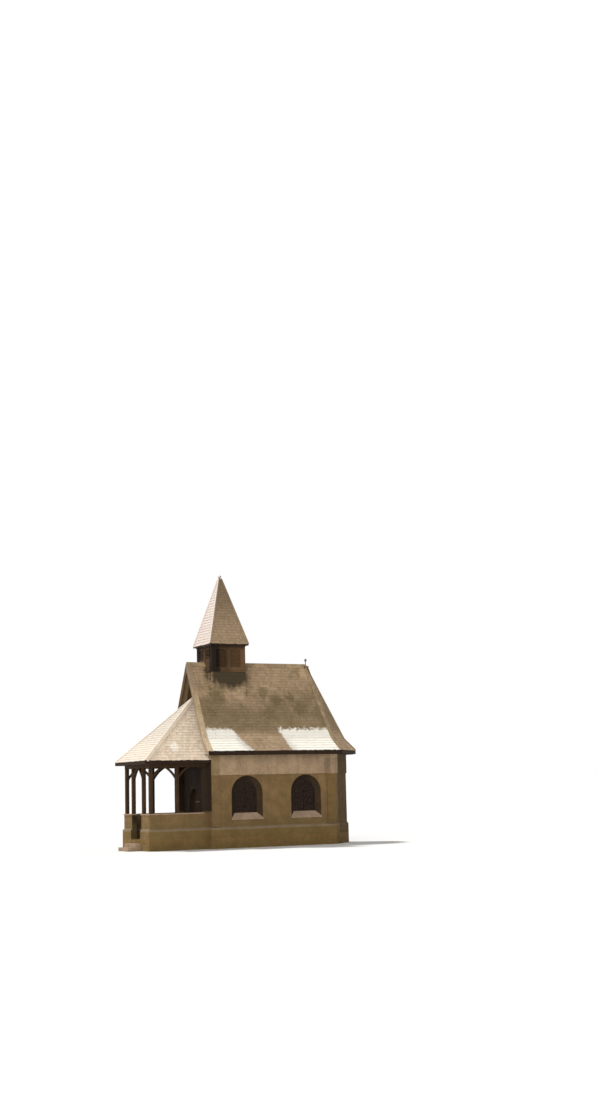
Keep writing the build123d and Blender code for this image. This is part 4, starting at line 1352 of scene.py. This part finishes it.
class CHAPEL_OT_finishes(Operator):
    """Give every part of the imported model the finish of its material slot"""
    bl_idname = "chapel.finishes"
    bl_label = "Finishes of the main parts"

    def execute(self, context):
        own = {"turret_shaft": "turret_boards", "turret_louvres": "turret_louvres",
               "bargeboards": "bargeboards", "window_frames": "eave_timber"}
        for row in frame["record"]["subparts"]:
            node, slot = row["node"], row["material_slot"]
            materials = frame["nodes"][node].data.materials
            materials.clear()
            ending = "_bare" if slot.endswith("_shingles") else "_finish"
            materials.append(finish_for(own.get(node, slot), ending))
        return {"FINISHED"}


class CHAPEL_OT_stage(Operator):
    """Set up the plain floor, the soft lights and the camera"""
    bl_idname = "chapel.stage"
    bl_label = "Studio stage"

    def execute(self, context):
        scene = context.scene
        reach = 400.0
        bm = bmesh.new()
        corners = ((-reach, -reach), (reach, -reach), (reach, reach), (-reach, reach))
        prism(bm, [at(x, y, 0) for x, y in corners], at(0, 0, -0.5))
        look = Look("studio_floor_finish", 0.95, 0.1)
        look.shader["Base Color"].default_value = colour("floor")
        floor = solid("studio_floor", bm, look.material)
        for name, direction, strength, spread in (("key_light", (-0.33, 0.48, 1.0), 3.0, 5.0),
                                                  ("fill_light", (-0.6, -0.7, 0.35), 1.5, 50.0)):
            lamp = bpy.data.lights.new(name, "SUN")
            lamp.energy = strength
            lamp.angle = radians(spread)
            light = bpy.data.objects.new(name, lamp)
            light.rotation_euler = Vector(direction).to_track_quat("Z", "Y").to_euler()
            scene.collection.objects.link(light)
        scene.world = bpy.data.worlds.new("studio_world")
        scene.world.use_nodes = True
        tree = scene.world.node_tree
        back = tree.nodes["Background"].inputs
        rays = tree.nodes.new("ShaderNodeLightPath").outputs
        seen = highest(*[Signal(rays[name]) for name in (
            "Is Camera Ray", "Is Glossy Ray", "Is Transmission Ray")])
        feed(back["Strength"], put(tree, "ShaderNodeMapRange", {0: seen, 3: 0.32, 4: 1.0}))
        back["Color"].default_value = (1, 1, 1, 1)
        scene.view_settings.view_transform = "Standard"
        yaw, pitch, roll = CAMERA_YAW, CAMERA_PITCH, CAMERA_ROLL
        ahead = at(sin(yaw) * cos(pitch), cos(yaw) * cos(pitch), sin(pitch))
        right = at(cos(yaw), -sin(yaw), 0)
        up = right.cross(ahead)
        right, up = right * cos(roll) - up * sin(roll), right * sin(roll) + up * cos(roll)
        lens = bpy.data.cameras.new("camera")
        lens.sensor_width = 36.0
        lens.lens = lens.sensor_width * FOCAL_LENGTH / PHOTO_HEIGHT
        lens.clip_end = 2000.0
        camera = bpy.data.objects.new("camera", lens)
        turned = Matrix((right, up, -ahead)).transposed().to_4x4()
        camera.matrix_world = Matrix.Translation(CAMERA_PLACE) @ turned
        scene.collection.objects.link(camera)
        scene.camera = camera
        return {"FINISHED"}


class CHAPEL_PT_panel(Panel):
    """Lists the operators that dress the chapel"""
    bl_idname = "CHAPEL_PT_panel"
    bl_label = "Small Mountain Chapel"
    bl_space_type = "VIEW_3D"
    bl_region_type = "UI"
    bl_category = "Chapel"

    def draw(self, context):
        for operator in OPERATORS:
            self.layout.operator(operator.bl_idname)
        for group in (context.scene.chapel_sizes, context.scene.chapel_colours):
            for name in group.bl_rna.properties.keys():
                if name not in ("rna_type", "name"):
                    self.layout.prop(group, name)


# The operators, in the order in which they run
OPERATORS = (CHAPEL_OT_roof_shingles, CHAPEL_OT_porch_shingles, CHAPEL_OT_spire_shingles,
             CHAPEL_OT_cover_boards, CHAPEL_OT_verge_boards, CHAPEL_OT_fascia_boards,
             CHAPEL_OT_porch_boarding, CHAPEL_OT_gable_boards, CHAPEL_OT_turret_trim,
             CHAPEL_OT_ceiling_boards, CHAPEL_OT_porch_paving, CHAPEL_OT_window_bars,
             CHAPEL_OT_window_sills, CHAPEL_OT_door_boards, CHAPEL_OT_finishes, CHAPEL_OT_stage)
CLASSES = (ChapelSizes, ChapelColours, *OPERATORS, CHAPEL_PT_panel)


def register():
    for cls in CLASSES:
        bpy.utils.register_class(cls)
    bpy.types.Scene.chapel_sizes = PointerProperty(type=ChapelSizes)
    bpy.types.Scene.chapel_colours = PointerProperty(type=ChapelColours)


def unregister():
    del bpy.types.Scene.chapel_sizes, bpy.types.Scene.chapel_colours
    for cls in reversed(CLASSES):
        bpy.utils.unregister_class(cls)


def main():
    """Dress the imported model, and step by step."""
    register()
    bpy.ops.chapel.roof_shingles()
    bpy.ops.chapel.porch_shingles()
    bpy.ops.chapel.spire_shingles()
    bpy.ops.chapel.cover_boards()
    bpy.ops.chapel.verge_boards()
    bpy.ops.chapel.fascia_boards()
    bpy.ops.chapel.porch_boarding()
    bpy.ops.chapel.gable_boards()
    bpy.ops.chapel.turret_trim()
    bpy.ops.chapel.ceiling_boards()
    bpy.ops.chapel.porch_paving()
    bpy.ops.chapel.window_bars()
    bpy.ops.chapel.window_sills()
    bpy.ops.chapel.door_boards()
    bpy.ops.chapel.finishes()
    bpy.ops.chapel.stage()
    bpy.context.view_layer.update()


if __name__ == "__main__":
    main()
